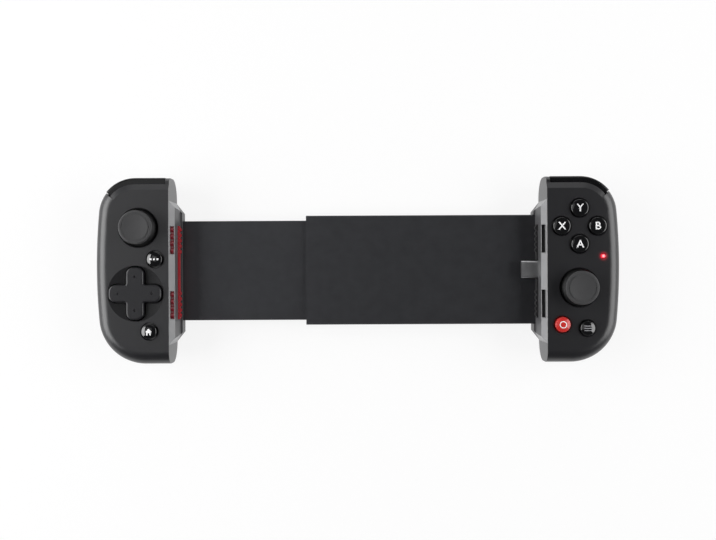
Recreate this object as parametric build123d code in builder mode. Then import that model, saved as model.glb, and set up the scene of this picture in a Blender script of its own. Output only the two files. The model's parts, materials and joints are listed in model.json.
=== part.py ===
"""Telescopic game controller: two grips that a sliding bridge draws together across a bay."""

import os
from math import atan2, cos, hypot, radians, sin, sqrt, tan

from build123d import *

os.makedirs("parts", exist_ok=True)

# Fits and general sizes
overrun = 2.0
slip_gap = 0.1
running_gap = 0.3
pin_gap = 0.05
seat_gap = 0.05
wall = 2.0
thin_wall = 1.2

# Grip body, seen from the face: straight along the bay, bowed outside, round at both corners
bay_length = 167.5
stop_depth = 4.1
grip_width = 34.65
grip_half_length = 43.5
grip_depth = 22.0
parting_height = 11.0
side_bow_radius = 280.0
side_bow_y = 2.0
top_corner_radius = 17.5
bottom_corner_radius = 22.0
back_round = 10.0
front_round = 6.0
inner_x = bay_length / 2 + stop_depth
outer_x = inner_x + grip_width
side_centre_x = outer_x - side_bow_radius
face_underside = grip_depth - wall

# Shoulder: chamfer band, bumper notch and the housing wall behind it
shoulder_start = 1.8
shoulder_end_angle = 37.0
shoulder_end_play_angle = 2.0
shoulder_wall_angle = 5.0
band_outer = 3.1
band_inner = 5.8
band_drop = 1.8
bumper_band = 5.0
bumper_travel_room = 1.2
bumper_height = 6.4
bumper_round = 1.1
notch_floor = 1.5
bumper_pin_radius = 0.95
bumper_pin_u = 4.6
bumper_pin_inset = 2.7
bumper_roof = 1.4
bumper_end_play = 0.35
housing_wall = 1.5
notch_depth = bumper_band + bumper_travel_room
housing_depth = notch_depth + housing_wall
notch_bottom = parting_height + notch_floor
bumper_bottom = notch_bottom + running_gap
bumper_top = bumper_bottom + bumper_height
notch_top = bumper_top + running_gap

# Trigger: a rounded key along the back of the shoulder, on a pin across it
trigger_start = 1.5
trigger_length = 21.0
trigger_depth = 6.3
trigger_low = 0.9
trigger_top_gap = 0.3
trigger_pocket_depth = 8.4
trigger_end_play = 0.35
trigger_pin_inset = 4.3
trigger_pin_height = 9.2
trigger_pin_radius = 0.8
trigger_knuckle = 2.2
trigger_ear_start = 10.5
trigger_ear_width = 2.0
trigger_ear_radius = 1.7
trigger_notch_width = 6.6
trigger_ear_web = 1.4
trigger_top_slope = 14.0
spring_wire = 0.2
spring_coil_radius = 1.25
spring_pitch = 0.7
spring_turns = 3.25
trigger_inner_y = grip_half_length - trigger_depth
trigger_pocket_y = grip_half_length - trigger_pocket_depth
trigger_pin_y = grip_half_length - trigger_pin_inset

# Screw posts, as distances from the inner end plane and from a grip's two ends
side_post_u = 27.5
side_post_inset = 16.0
middle_post_u = 28.5
middle_post_share = 0.287
low_post_u = 5.0
low_post_inset = 6.5
shoulder_post_u = 6.2
shoulder_post_inset = 12.3
post_places = [
    (side_post_u, side_post_inset - grip_half_length),
    (middle_post_u, middle_post_share * grip_half_length),
    (low_post_u, low_post_inset - grip_half_length),
    (shoulder_post_u, grip_half_length - shoulder_post_inset),
]
front_post_radius = 2.4
back_post_radius = 2.9
screw_radius = 0.8
screw_head_radius = 1.8
screw_head_height = 1.1
screw_head_seat = 2.3
screw_length = 14.0
screw_recess_share = 0.45
screw_cross_share = 0.25

# Circuit board and key membrane
board_inset = 3.0
board_thickness = 1.2
board_low = 9.4
board_start = 3.8
board_shoulder_gap = 0.7
board_top_y = trigger_pocket_y - thin_wall - board_shoulder_gap
board_hole_radius = 1.0
membrane_thickness = 0.8
membrane_margin = 1.2
membrane_start = 3.9
dome_base_radius = 2.6
dome_top_radius = 1.7
board_top = board_low + board_thickness
membrane_top = board_top + membrane_thickness

# How far the controls lie along a grip, as shares of its half length
upper_control_share = 0.46
right_stick_share = -0.198
pad_share = -0.241
turbo_share = -0.591
menu_share = -0.63
options_share = 0.124
home_share = -0.646
light_share = 0.138

# Round keys
key_gap = 0.25
key_stem_radius = 1.9
key_stem_low = 14.0
key_flange_width = 0.8
key_flange_thickness = 0.6
key_rise = 1.3
key_crown = 0.75
key_rim = 0.3
face_key_radius = 4.0
face_key_spacing = 8.35
face_key_centre = (14.95, upper_control_share * grip_half_length)
turbo_key_radius = 3.5
turbo_key_place = (6.9, turbo_share * grip_half_length)
menu_key_radius = 3.4
menu_key_place = (18.4, menu_share * grip_half_length)
options_key_radius = 3.5
options_key_place = (6.3, options_share * grip_half_length)
home_key_radius = 3.5
home_key_place = (9.0, home_share * grip_half_length)
light_place = (26.0, light_share * grip_half_length)
light_radius = 1.0
light_foot_radius = 1.7
light_foot_height = 1.2
light_rise = 0.1

# Thumb sticks: module on the board, skirt and cap above
left_stick_place = (14.0, upper_control_share * grip_half_length)
right_stick_place = (14.8, right_stick_share * grip_half_length)
stick_pivot_height = 13.6
stick_hole_radius = 9.0
stick_hole_chamfer = 0.4
skirt_radius = 10.7
skirt_thickness = 0.8
skirt_angle = 69.0
skirt_middle_share = 0.6
stem_radius = 3.5
stem_low = 7.2
cap_radius = 7.8
cap_low = 13.0
cap_height = 2.4
cap_round = 0.7
cap_ring_share = 0.8
cap_ring_width = 0.35
cap_ring_depth = 0.15
cap_dish_radius = 5.9
cap_dish_depth = 0.55
case_half = 5.5
case_wall = 0.4
case_top = 4.5
case_mouth_radius = 3.9
cradle_gap = 0.12
cradle_wall = 0.9
cradle_half_height = 1.5
yoke_radius = 3.0
yoke_barrel = 2.3
yoke_slot_half = 2.05
arch_gap = 0.2
arch_thickness = 0.5
arch_half_width = 1.9
arch_slot_side_gap = 0.12
arch_slot_half = 2.9
trunnion_radius = 0.8
shaft_radius = 1.1
shaft_top = 14.3
shaft_foot = 1.4
shaft_pin_radius = 0.5
shaft_pin_half = 1.9

# Direction pad
pad_place = (15.35, pad_share * grip_half_length)
pad_dish_radius = 13.0
pad_dish_depth = 0.9
pad_span = 24.4
pad_arm = 8.1
pad_arm_end_round = 3.2
pad_inner_round = 0.8
pad_gap = 0.6
pad_top = 24.1
pad_edge_round = 0.9
pad_hub_radius = 10.8
pad_hub_thickness = 1.0
pad_hub_drop = 1.1
pad_hollow_radius = 0.55
pad_hollow_place = 7.8
pad_foot_radius = 1.4
pad_foot_place = 8.4
pad_foot_low = 14.6
pad_ball_radius = 1.5
pad_ball_height = 16.4
pad_ball_gap = 0.1
pad_socket_radius = 2.6
pad_socket_drop = 0.5
pad_post_radius = 2.1
pad_post_drop = 0.5

# End stops: trapezium seen from the face, with a slanted lead to the bay
stop_top_inset = 10.9
stop_low_inset = 9.1
stop_top_y = grip_half_length - stop_top_inset
stop_low_y = stop_low_inset - grip_half_length
stop_narrowing = 5.1
stop_back = 1.5
stop_lead = 2.4
stop_lead_drop = 3.1
stop_lean = 0.9
window_inset = 2.6
window_top_y = stop_top_y - window_inset
window_low_y = stop_low_y + window_inset
window_back = 2.4
window_front_wall = 4.2
stop_flange_width = 1.0
stop_flange_thickness = 1.0
slot_length = 13.1
slot_width = 1.75
slot_edge = 0.4
slot_depth = 2.2
slot_top_y = 14.25
slot_low_y = -16.0
pad_rib_count = 4
pad_rib_radius = 1.15
insert_play = 0.1
insert_drop = 1.0
strip_margin = 0.325
strip_low = 10.4
strip_high = 14.0
strip_sunk = 0.6
strip_rib_height = 0.6
strip_rib_count = 5
strip_length = slot_top_y - slot_low_y + slot_length + strip_margin + strip_margin
strip_centre_y = (slot_top_y + slot_low_y) / 2

# Sliding bridge: sleeve on the right grip, tongue on the left grip
sleeve_inset = 4.0
sleeve_half_width = window_top_y - sleeve_inset
sleeve_low = 3.0
sleeve_high = 9.0
sleeve_plate = 1.3
sleeve_side = 2.0
sleeve_left_reach = 24.75
sleeve_edge = 0.5
grip_reach = 12.0
tongue_half_width = sleeve_half_width - sleeve_side - running_gap
tongue_thickness = 2.8
tongue_reach = 25.25
spring_place_y = 17.0
spring_slot_half = 1.7
spring_slot_reach = 48.0
flex_slot_half = 6.0
flex_slot_reach = 34.0
flex_half_width = 5.0
flex_thickness = 0.2
flex_groove = 0.5
draw_spring_radius = 1.1
draw_spring_wire = 0.3
draw_spring_pitch = 4.2
draw_spring_end = 2.2
spring_block_u = 7.0
spring_block_length = 3.5
spring_block_half = 2.0
flex_play = 1.2
flex_fold_bend = 0.6
flex_fold_near = 40.0
flex_fold_far = 70.0
bridge_screw_radius = 0.6
bridge_screw_head_radius = 0.9
bridge_screw_head_height = 0.7
bridge_screw_length = 4.3
bridge_screw_rows = 4
bridge_screw_pitch = 36.0
bridge_screw_start = 18.0
anchor_u = 8.0
anchor_y = 11.0
anchor_radius = 2.6
anchor_screw_length = 6.0
sleeve_mid = (sleeve_low + sleeve_high) / 2
tongue_low = sleeve_mid - tongue_thickness / 2
tongue_high = sleeve_mid + tongue_thickness / 2
cavity_low = sleeve_low + sleeve_plate
cavity_high = sleeve_high - sleeve_plate

# Plug in the bay and the charging socket
plug_width = 8.25
plug_height = 2.4
plug_reach = 6.65
plug_skin = 0.3
plug_depth = 5.6
plug_lift = 4.25
plug_base_width = 11.0
plug_base_height = 4.8
plug_base_start = 1.4
plug_base_end = 4.0
plug_centre_height = sleeve_high + plug_lift
port_place_u = 12.5
port_width = 8.94
port_height = 3.26
port_skin = 0.3
port_depth = 7.3
port_cavity_depth = 6.2
port_tongue_width = 6.7
port_tongue_height = 0.7
port_tongue_length = 4.8
port_recess = 0.25
port_gap = 0.2

# Shoulder switches
switch_width = 4.0
switch_height = 3.6
switch_depth = 2.4
switch_plunger_radius = 0.7
bumper_switch_u = 14.0
bumper_plunger_slack = 0.12
bumper_swing_angle = 1.6
trigger_switch_u = 20.0
trigger_switch_height = 5.2
trigger_swing_angle = 12.0
trigger_plunger_slack = 0.15


def out(distance):
    """Length position of a point that lies a distance outside the inner end plane."""
    return inner_x + distance


post_spots = [(out(u), y) for u, y in post_places]


def corner_centre(radius, side):
    """Centre of a corner arc that touches the straight end and the bowed side."""
    y = side * (grip_half_length - radius)
    reach = side_bow_radius - radius
    return side_centre_x + sqrt(reach**2 - (y - side_bow_y) ** 2), y


def side_touch(centre, inset):
    """Point where a corner arc runs into the bowed side, for an outline drawn in by inset."""
    dx = centre[0] - side_centre_x
    dy = centre[1] - side_bow_y
    share = (side_bow_radius - inset) / hypot(dx, dy)
    return side_centre_x + dx * share, side_bow_y + dy * share


def arc_middle(centre, start, end):
    """Middle point of the arc about a centre between two of its points."""
    middle_angle = (atan2(start[1] - centre[1], start[0] - centre[0])
                    + atan2(end[1] - centre[1], end[0] - centre[0])) / 2
    radius = hypot(start[0] - centre[0], start[1] - centre[1])
    return centre[0] + radius * cos(middle_angle), centre[1] + radius * sin(middle_angle)


top_centre = corner_centre(top_corner_radius, 1)
bottom_centre = corner_centre(bottom_corner_radius, -1)


def grip_outline(inset, start_x):
    """Face of the grip's outline, drawn in by inset on all sides but the inner end."""
    end_y = grip_half_length - inset
    top_start = (top_centre[0], end_y)
    top_end = side_touch(top_centre, inset)
    bottom_start = side_touch(bottom_centre, inset)
    bottom_end = (bottom_centre[0], -end_y)
    with BuildLine() as edge:
        Line((start_x, end_y), top_start)
        ThreePointArc(top_start, arc_middle(top_centre, top_start, top_end), top_end)
        ThreePointArc(top_end, (outer_x - inset, side_bow_y), bottom_start)
        ThreePointArc(bottom_start, arc_middle(bottom_centre, bottom_start, bottom_end), bottom_end)
        Line(bottom_end, (start_x, -end_y))
        Line((start_x, -end_y), (start_x, end_y))
    make_face(edge.edges())


def grip_solid(inset, start_x):
    """The grip's rounded body drawn in by inset: the envelope at zero, the hollow at one wall."""
    with BuildPart() as body:
        with BuildSketch(Plane.XY.offset(inset)):
            grip_outline(inset, start_x)
        extrude(amount=grip_depth - inset - inset)
        for face, radius in (
            (body.faces().sort_by(Axis.Z)[0], back_round),
            (body.faces().sort_by(Axis.Z)[-1], front_round),
        ):
            rim = face.edges().sort_by(Axis.X)[1:]
            fillet(rim, radius - inset)
    return body.part


def shoulder_sector(start_u, end_angle, low, high):
    """Prism over the shoulder, from near the inner end round the corner to an angle."""
    reach = grip_half_length
    tip_x = top_centre[0] + reach * cos(radians(end_angle))
    tip_y = top_centre[1] + reach * sin(radians(end_angle))
    with BuildPart() as sector:
        with BuildSketch(Plane.XY.offset(low)):
            with BuildLine() as edge:
                Polyline(
                    (out(start_u), top_centre[1]),
                    top_centre,
                    (tip_x, tip_y),
                    (tip_x, tip_y + reach),
                    (out(start_u), tip_y + reach),
                    close=True,
                )
            make_face(edge.edges())
        extrude(amount=high - low)
    return sector.part


def outline_prism(inset, low, high):
    """Upright prism over the drawn-in outline, past the inner end plane."""
    with BuildPart() as prism:
        with BuildSketch(Plane.XY.offset(low)):
            grip_outline(inset, inner_x - overrun)
        extrude(amount=high - low)
    return prism.part


envelope = grip_solid(0, inner_x)
hollow = grip_solid(wall, inner_x + wall)

# Wall that closes the grip's hollow behind the bumper
with BuildPart() as bumper_housing:
    add(envelope)
    add(outline_prism(housing_depth, -overrun, grip_depth + overrun), mode=Mode.SUBTRACT)
    add(
        shoulder_sector(
            -overrun,
            shoulder_end_angle - shoulder_wall_angle,
            parting_height,
            grip_depth + overrun,
        ),
        mode=Mode.INTERSECT,
    )

# Everything that is cut away round the bumper: notch, open lip and slanted band
with BuildPart() as slanted_band:
    with BuildSketch(Plane.XY.offset(grip_depth + overrun)):
        grip_outline(band_inner + overrun * (band_inner - band_outer) / band_drop, inner_x - overrun)
    with BuildSketch(Plane.XY.offset(grip_depth - band_drop)):
        grip_outline(band_outer, inner_x - overrun)
    loft(ruled=True)

with BuildPart() as bumper_notch:
    add(shoulder_sector(shoulder_start, shoulder_end_angle, notch_bottom, notch_top))
    add(outline_prism(notch_depth, -overrun, grip_depth + overrun), mode=Mode.SUBTRACT)

with BuildPart() as bumper_lip:
    add(shoulder_sector(shoulder_start, shoulder_end_angle, notch_top - slip_gap, grip_depth - band_drop))
    add(outline_prism(band_outer, -overrun, grip_depth + overrun), mode=Mode.SUBTRACT)

with BuildPart() as band_cut:
    add(
        shoulder_sector(-overrun, shoulder_end_angle, grip_depth - band_drop, grip_depth + overrun)
    )
    add(slanted_band.part, mode=Mode.SUBTRACT)

# Pocket for the trigger and the wall round it
trigger_end = trigger_start + trigger_length
pocket_end = trigger_end + trigger_end_play


def corner_block(start_u, end_u, low_y, low, high):
    """Block at the back of the shoulder that runs past the outline."""
    with BuildPart() as block:
        with BuildSketch(Plane.XY.offset(low)):
            with BuildLine() as edge:
                Polyline(
                    (out(start_u), low_y),
                    (out(end_u), low_y),
                    (out(end_u), grip_half_length + overrun),
                    (out(start_u), grip_half_length + overrun),
                    close=True,
                )
            make_face(edge.edges())
        extrude(amount=high - low)
    return block.part


with BuildPart() as trigger_housing:
    add(envelope)
    add(
        corner_block(
            -overrun,
            pocket_end + thin_wall,
            trigger_pocket_y - thin_wall,
            -overrun,
            parting_height,
        ),
        mode=Mode.INTERSECT,
    )

trigger_pocket = corner_block(
    trigger_start - running_gap,
    pocket_end,
    trigger_pocket_y,
    -overrun,
    parting_height + overrun,
)


def stop_window():
    """Opening in a grip's inner end wall for the neck of its end stop."""
    height = grip_depth - window_front_wall - window_back
    with BuildPart() as opening:
        with BuildSketch(Plane.YZ.offset(inner_x - overrun)):
            with Locations(((window_top_y + window_low_y) / 2, window_back + height / 2)):
                Rectangle(window_top_y - window_low_y, height)
        extrude(amount=wall + overrun + overrun)
    return opening.part


def front_blank():
    """Face half of a grip with its shoulder, its posts and no key holes yet."""
    with BuildPart() as blank:
        add(envelope)
        add(hollow, mode=Mode.SUBTRACT)
        add(bumper_housing.part)
        add(band_cut.part, mode=Mode.SUBTRACT)
        add(bumper_notch.part, mode=Mode.SUBTRACT)
        add(bumper_lip.part, mode=Mode.SUBTRACT)
        split(bisect_by=Plane.XY.offset(parting_height), keep=Keep.TOP)
        with BuildSketch(Plane.XY.offset(board_top)):
            with Locations(post_spots):
                Circle(front_post_radius)
        extrude(amount=face_underside - board_top)
        with BuildSketch(Plane.XY.offset(board_top - overrun)):
            with Locations(post_spots):
                Circle(screw_radius + pin_gap)
        extrude(
            amount=screw_head_seat + screw_head_height + screw_length + slip_gap - board_top + overrun,
            mode=Mode.SUBTRACT,
        )
        add(stop_window(), mode=Mode.SUBTRACT)
        add(bumper_pin_hole(), mode=Mode.SUBTRACT)
        add(bumper_switch_window(slip_gap), mode=Mode.SUBTRACT)
    return blank.part


def front_shell(blank, key_holes, stick_place, has_pad):
    """Face half of a grip, drawn on the right side."""
    with BuildPart() as shell:
        add(blank)
        with Locations((out(stick_place[0]), stick_place[1], grip_depth)):
            Cone(
                stick_hole_radius,
                stick_hole_radius + stick_hole_chamfer + stick_hole_chamfer,
                stick_hole_chamfer + stick_hole_chamfer,
                mode=Mode.SUBTRACT,
            )
            Cylinder(stick_hole_radius, wall + wall + overrun, mode=Mode.SUBTRACT)
        for (u, y), radius in key_holes:
            with Locations((out(u), y, grip_depth)):
                Cylinder(radius + key_gap, wall + wall + overrun, mode=Mode.SUBTRACT)
                Cone(
                    radius + key_gap,
                    radius + key_gap + key_rim + key_rim,
                    key_rim + key_rim,
                    mode=Mode.SUBTRACT,
                )
        if has_pad:
            dish_radius = (pad_dish_radius**2 + pad_dish_depth**2) / (pad_dish_depth + pad_dish_depth)
            with Locations((out(pad_place[0]), pad_place[1], grip_depth - pad_dish_depth + dish_radius)):
                Sphere(dish_radius, mode=Mode.SUBTRACT)
            with BuildSketch(Plane.XY.offset(grip_depth)):
                pad_cross(pad_gap)
            extrude(amount=-(wall + overrun), mode=Mode.SUBTRACT)
    return shell.part


def pad_cross(growth):
    """Cross of the direction pad, grown by a gap all round."""
    length = pad_span + growth + growth
    breadth = pad_arm + growth + growth
    with BuildSketch(mode=Mode.PRIVATE) as cross:
        with Locations((out(pad_place[0]), pad_place[1])):
            RectangleRounded(length, breadth, pad_arm_end_round + growth)
            RectangleRounded(breadth, length, pad_arm_end_round + growth)
        fillet(
            cross.vertices().sort_by_distance((out(pad_place[0]), pad_place[1]))[0:4],
            pad_inner_round,
        )
    add(cross.sketch)


def bumper_pin_place():
    """Plan position of the bumper's pin."""
    return out(bumper_pin_u), grip_half_length - bumper_pin_inset


def bumper_pin_hole():
    """Hole through the notch floor for the bumper's pin."""
    with BuildPart() as hole:
        with BuildSketch(Plane.XY.offset(parting_height - overrun)):
            with Locations(bumper_pin_place()):
                Circle(bumper_pin_radius + seat_gap)
        extrude(amount=notch_floor + overrun + overrun)
    return hole.part


def bumper_switch_window(clearance):
    """Room for the bumper switch's body in the housing wall, grown by a clearance."""
    back_y = grip_half_length - notch_depth
    with BuildPart() as room:
        with BuildSketch(Plane.XZ.offset(-back_y)):
            with Locations((out(bumper_switch_u), (bumper_bottom + bumper_top) / 2)):
                Rectangle(
                    switch_width + clearance + clearance,
                    switch_height + clearance + clearance,
                )
        extrude(amount=switch_depth)
    return room.part


def back_blank():
    """Back half of a grip with the trigger's pocket and the screw posts."""
    with BuildPart() as blank:
        add(envelope)
        add(hollow, mode=Mode.SUBTRACT)
        add(trigger_housing.part)
        split(bisect_by=Plane.XY.offset(parting_height), keep=Keep.BOTTOM)
        add(trigger_pocket, mode=Mode.SUBTRACT)
        with BuildSketch(Plane.XY.offset(wall)):
            with Locations(post_spots):
                Circle(back_post_radius)
        extrude(amount=board_low - wall)
        add(stop_window(), mode=Mode.SUBTRACT)
        with Locations([(*spot, -overrun) for spot in post_spots]):
            Cylinder(
                screw_radius + pin_gap,
                board_low + overrun + overrun,
                align=(Align.CENTER, Align.CENTER, Align.MIN),
                mode=Mode.SUBTRACT,
            )
            Cylinder(
                screw_head_radius + slip_gap,
                screw_head_seat + screw_head_height + overrun,
                align=(Align.CENTER, Align.CENTER, Align.MIN),
                mode=Mode.SUBTRACT,
            )
        add(trigger_ear())
        with BuildSketch(Plane.YZ.offset(out(trigger_ear_start - overrun))):
            with Locations((trigger_pin_y, trigger_pin_height)):
                Circle(trigger_pin_radius + seat_gap)
        extrude(amount=pocket_end + thin_wall - trigger_ear_start + overrun + overrun, mode=Mode.SUBTRACT)
        add(trigger_switch_window(slip_gap), mode=Mode.SUBTRACT)
    return blank.part


def back_shell(blank, has_pad, screw_pads_height):
    """Back half of a grip, drawn on the right side."""
    anchor_spots = [(out(anchor_u), anchor_y), (out(anchor_u), -anchor_y)]
    with BuildPart() as shell:
        add(blank)
        with BuildSketch(Plane.XY.offset(wall)):
            with Locations(anchor_spots):
                Circle(anchor_radius)
        extrude(amount=screw_pads_height - wall)
        with Locations([(*spot, -overrun) for spot in anchor_spots]):
            Cylinder(
                bridge_screw_radius + pin_gap,
                screw_pads_height + overrun + overrun,
                align=(Align.CENTER, Align.CENTER, Align.MIN),
                mode=Mode.SUBTRACT,
            )
            Cylinder(
                bridge_screw_head_radius + slip_gap,
                bridge_screw_head_height + overrun,
                align=(Align.CENTER, Align.CENTER, Align.MIN),
                mode=Mode.SUBTRACT,
            )
        if has_pad:
            with Locations((out(pad_place[0]), pad_place[1], wall)):
                Cylinder(
                    pad_post_radius,
                    pad_ball_height - pad_post_drop - wall,
                    align=(Align.CENTER, Align.CENTER, Align.MIN),
                )
            with Locations((out(pad_place[0]), pad_place[1], pad_ball_height)):
                Sphere(pad_ball_radius + pad_ball_gap, mode=Mode.SUBTRACT)
    return shell.part


def trigger_ear():
    """Rib in the trigger's pocket that carries the middle of its pin."""
    with BuildPart() as ear:
        with BuildSketch(Plane.YZ.offset(out(trigger_ear_start))):
            with Locations((trigger_pin_y, trigger_pin_height)):
                Circle(trigger_ear_radius)
            with Locations(((trigger_pin_y + trigger_pocket_y) / 2, trigger_pin_height)):
                Rectangle(
                    trigger_pin_y - trigger_pocket_y + slip_gap,
                    trigger_ear_web + trigger_ear_web,
                )
        extrude(amount=trigger_ear_width)
    return ear.part


def trigger_switch_window(clearance):
    """Room for the trigger switch's body in the pocket wall, grown by a clearance."""
    with BuildPart() as room:
        with BuildSketch(Plane.XZ.offset(-trigger_pocket_y)):
            with Locations((out(trigger_switch_u), trigger_switch_height)):
                Rectangle(
                    switch_width + clearance + clearance,
                    switch_height + clearance + clearance,
                )
        extrude(amount=switch_depth)
    return room.part


def end_stop(hole_half_width, hole_low, hole_high, plug_hole):
    """End stop that closes a grip's inner end, drawn on the right side."""
    nose_x = inner_x - stop_depth
    with BuildPart() as stop:
        with BuildSketch(Plane.XY.offset(stop_back)):
            with BuildLine() as edge:
                Polyline(
                    (inner_x, stop_top_y),
                    (nose_x, stop_top_y - stop_narrowing),
                    (nose_x, stop_low_y + stop_narrowing),
                    (inner_x, stop_low_y),
                    close=True,
                )
            make_face(edge.edges())
        extrude(amount=grip_depth - stop_back)
        with BuildSketch(Plane.XZ.offset(-stop_top_y - overrun)):
            with BuildLine() as slant:
                Polyline(
                    (inner_x, grip_depth),
                    (inner_x - stop_lead, grip_depth - stop_lead_drop),
                    (inner_x - stop_lead - stop_lean, sleeve_high),
                    (nose_x - overrun, sleeve_high),
                    (nose_x - overrun, grip_depth + overrun),
                    (inner_x, grip_depth + overrun),
                    close=True,
                )
            make_face(slant.edges())
        extrude(amount=stop_top_y - stop_low_y + overrun + overrun, mode=Mode.SUBTRACT)
        add(stop_neck())
        with BuildSketch(Plane.YZ.offset(nose_x - overrun)):
            with Locations((0, (hole_low + hole_high) / 2)):
                Rectangle(
                    hole_half_width + hole_half_width + slip_gap + slip_gap,
                    hole_high - hole_low + slip_gap + slip_gap,
                )
        extrude(amount=stop_depth + wall + stop_flange_thickness + overrun + overrun, mode=Mode.SUBTRACT)
        for place_y in (slot_top_y, slot_low_y):
            with BuildSketch(Plane.XY.offset(grip_depth)):
                with Locations((inner_x - slot_edge - slot_width / 2, place_y)):
                    Rectangle(slot_width, slot_length)
            extrude(amount=-(stop_lead_drop + slot_depth), mode=Mode.SUBTRACT)
        add(strip_block(slip_gap), mode=Mode.SUBTRACT)
        if plug_hole:
            with BuildSketch(Plane.YZ.offset(nose_x - overrun)):
                with Locations((0, plug_centre_height)):
                    SlotOverall(plug_width + slip_gap + slip_gap, plug_height + slip_gap + slip_gap)
            extrude(amount=stop_depth + overrun + overrun, mode=Mode.SUBTRACT)
            with BuildSketch(Plane.YZ.offset(inner_x - plug_base_start)):
                with Locations((0, plug_centre_height)):
                    Rectangle(
                        plug_base_width + slip_gap + slip_gap,
                        plug_base_height + slip_gap + slip_gap,
                    )
            extrude(amount=plug_base_end + plug_base_start + overrun, mode=Mode.SUBTRACT)
    return stop.part


def stop_neck():
    """Neck of an end stop in the end wall's window and the flange behind the wall."""
    with BuildPart() as neck:
        with BuildSketch(Plane.YZ.offset(inner_x)):
            with Locations(
                (
                    (window_top_y + window_low_y) / 2,
                    (window_back + grip_depth - window_front_wall) / 2,
                )
            ):
                Rectangle(
                    window_top_y - window_low_y - slip_gap - slip_gap,
                    grip_depth - window_front_wall - window_back - slip_gap - slip_gap,
                )
        extrude(amount=wall)
        with BuildSketch(Plane.YZ.offset(inner_x + wall)):
            with Locations(
                (
                    (window_top_y + window_low_y) / 2,
                    (window_back + grip_depth - window_front_wall) / 2,
                )
            ):
                Rectangle(
                    window_top_y - window_low_y + stop_flange_width + stop_flange_width,
                    grip_depth - window_front_wall - window_back - slip_gap - slip_gap,
                )
        extrude(amount=stop_flange_thickness)
    return neck.part


def strip_block(growth):
    """Room of the soft strip let into a stop's bay side, grown by a gap."""
    bay_x = bay_length / 2
    depth_to = inner_x - stop_lead + strip_sunk + growth
    with BuildPart() as strip:
        with BuildSketch(Plane.YZ.offset(bay_x + strip_rib_height)):
            with Locations((strip_centre_y, (strip_low + strip_high) / 2)):
                Rectangle(strip_length + growth + growth, strip_high - strip_low + growth + growth)
        extrude(amount=depth_to - bay_x - strip_rib_height)
    return strip.part


def contact_strip(rib_count, plug_cut):
    """Soft strip that the stop presses on what the bay holds, with upright ribs by the slots."""
    face_x = bay_length / 2 + strip_rib_height
    pitch = slot_length / rib_count
    with BuildPart() as strip:
        add(strip_block(0))
        for place_y in (slot_top_y, slot_low_y):
            for index in range(rib_count):
                rib_y = place_y + (index - (rib_count - 1) / 2) * pitch
                with Locations((face_x + strip_rib_height, rib_y, (strip_low + strip_high) / 2)):
                    Cylinder(strip_rib_height + strip_rib_height, strip_high - strip_low)
        if plug_cut:
            with Locations((inner_x, 0, plug_centre_height - plug_height / 2 - running_gap)):
                Box(
                    stop_depth + stop_depth + overrun,
                    plug_width + running_gap + running_gap,
                    grip_depth,
                    align=(Align.CENTER, Align.CENTER, Align.MIN),
                    mode=Mode.SUBTRACT,
                )
    return strip.part


# Round keys
def round_key(place, radius):
    """Domed round key with its flange under the face and its stem to the membrane."""
    top = grip_depth + key_rise
    flange_top = face_underside - running_gap
    rim_radius = radius + key_flange_width
    with BuildPart() as key:
        with BuildSketch(Plane((out(place[0]), place[1], 0), x_dir=(1, 0, 0), z_dir=(0, -1, 0))):
            with BuildLine() as half:
                Polyline(
                    (0, top + key_crown),
                    (0, key_stem_low),
                    (key_stem_radius, key_stem_low),
                    (key_stem_radius, flange_top - key_flange_thickness),
                    (rim_radius, flange_top - key_flange_thickness),
                    (rim_radius, flange_top),
                    (radius, flange_top),
                    (radius, top),
                )
                crown_radius = (radius**2 + key_crown**2) / (key_crown + key_crown)
                middle = radius / 2
                ThreePointArc(
                    (radius, top),
                    (middle, top + key_crown - crown_radius + sqrt(crown_radius**2 - middle**2)),
                    (0, top + key_crown),
                )
            make_face(half.edges())
        revolve(axis=Axis((out(place[0]), place[1], 0), (0, 0, 1)))
        with Locations((out(wall + running_gap), place[1], grip_depth / 2)):
            Box(
                grip_width,
                grip_width,
                grip_depth,
                align=(Align.MAX, Align.CENTER, Align.CENTER),
                mode=Mode.SUBTRACT,
            )
    return key.part


def screw(place, seat, length, radius, head_radius, head_height):
    """Screw driven towards the face: its head's seat is at the given height."""
    with BuildPart() as body:
        with Locations((place[0], place[1], seat)):
            Cylinder(radius, length, align=(Align.CENTER, Align.CENTER, Align.MIN))
            Cylinder(head_radius, head_height, align=(Align.CENTER, Align.CENTER, Align.MAX))
        with Locations((place[0], place[1], seat - head_height)):
            for turn in (0, 90):
                Box(
                    head_radius,
                    head_radius * screw_cross_share,
                    screw_recess_share * (head_height + head_height),
                    rotation=(0, 0, turn),
                    mode=Mode.SUBTRACT,
                )
    return body.part


# Circuit boards
def board(pad_hole):
    """Circuit board of a grip, clamped between the front and back posts."""
    with BuildPart() as plate:
        with BuildSketch(Plane.XY.offset(board_low)):
            grip_outline(board_inset, out(board_start))
            with Locations((out(grip_width / 2), board_top_y)):
                Rectangle(
                    grip_width + overrun + overrun,
                    grip_half_length,
                    align=(Align.CENTER, Align.MIN),
                    mode=Mode.SUBTRACT,
                )
            with Locations(post_spots):
                Circle(board_hole_radius, mode=Mode.SUBTRACT)
            if pad_hole:
                with Locations((out(pad_place[0]), pad_place[1])):
                    Circle(pad_post_radius + running_gap, mode=Mode.SUBTRACT)
        extrude(amount=board_thickness)
    return plate.part


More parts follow.
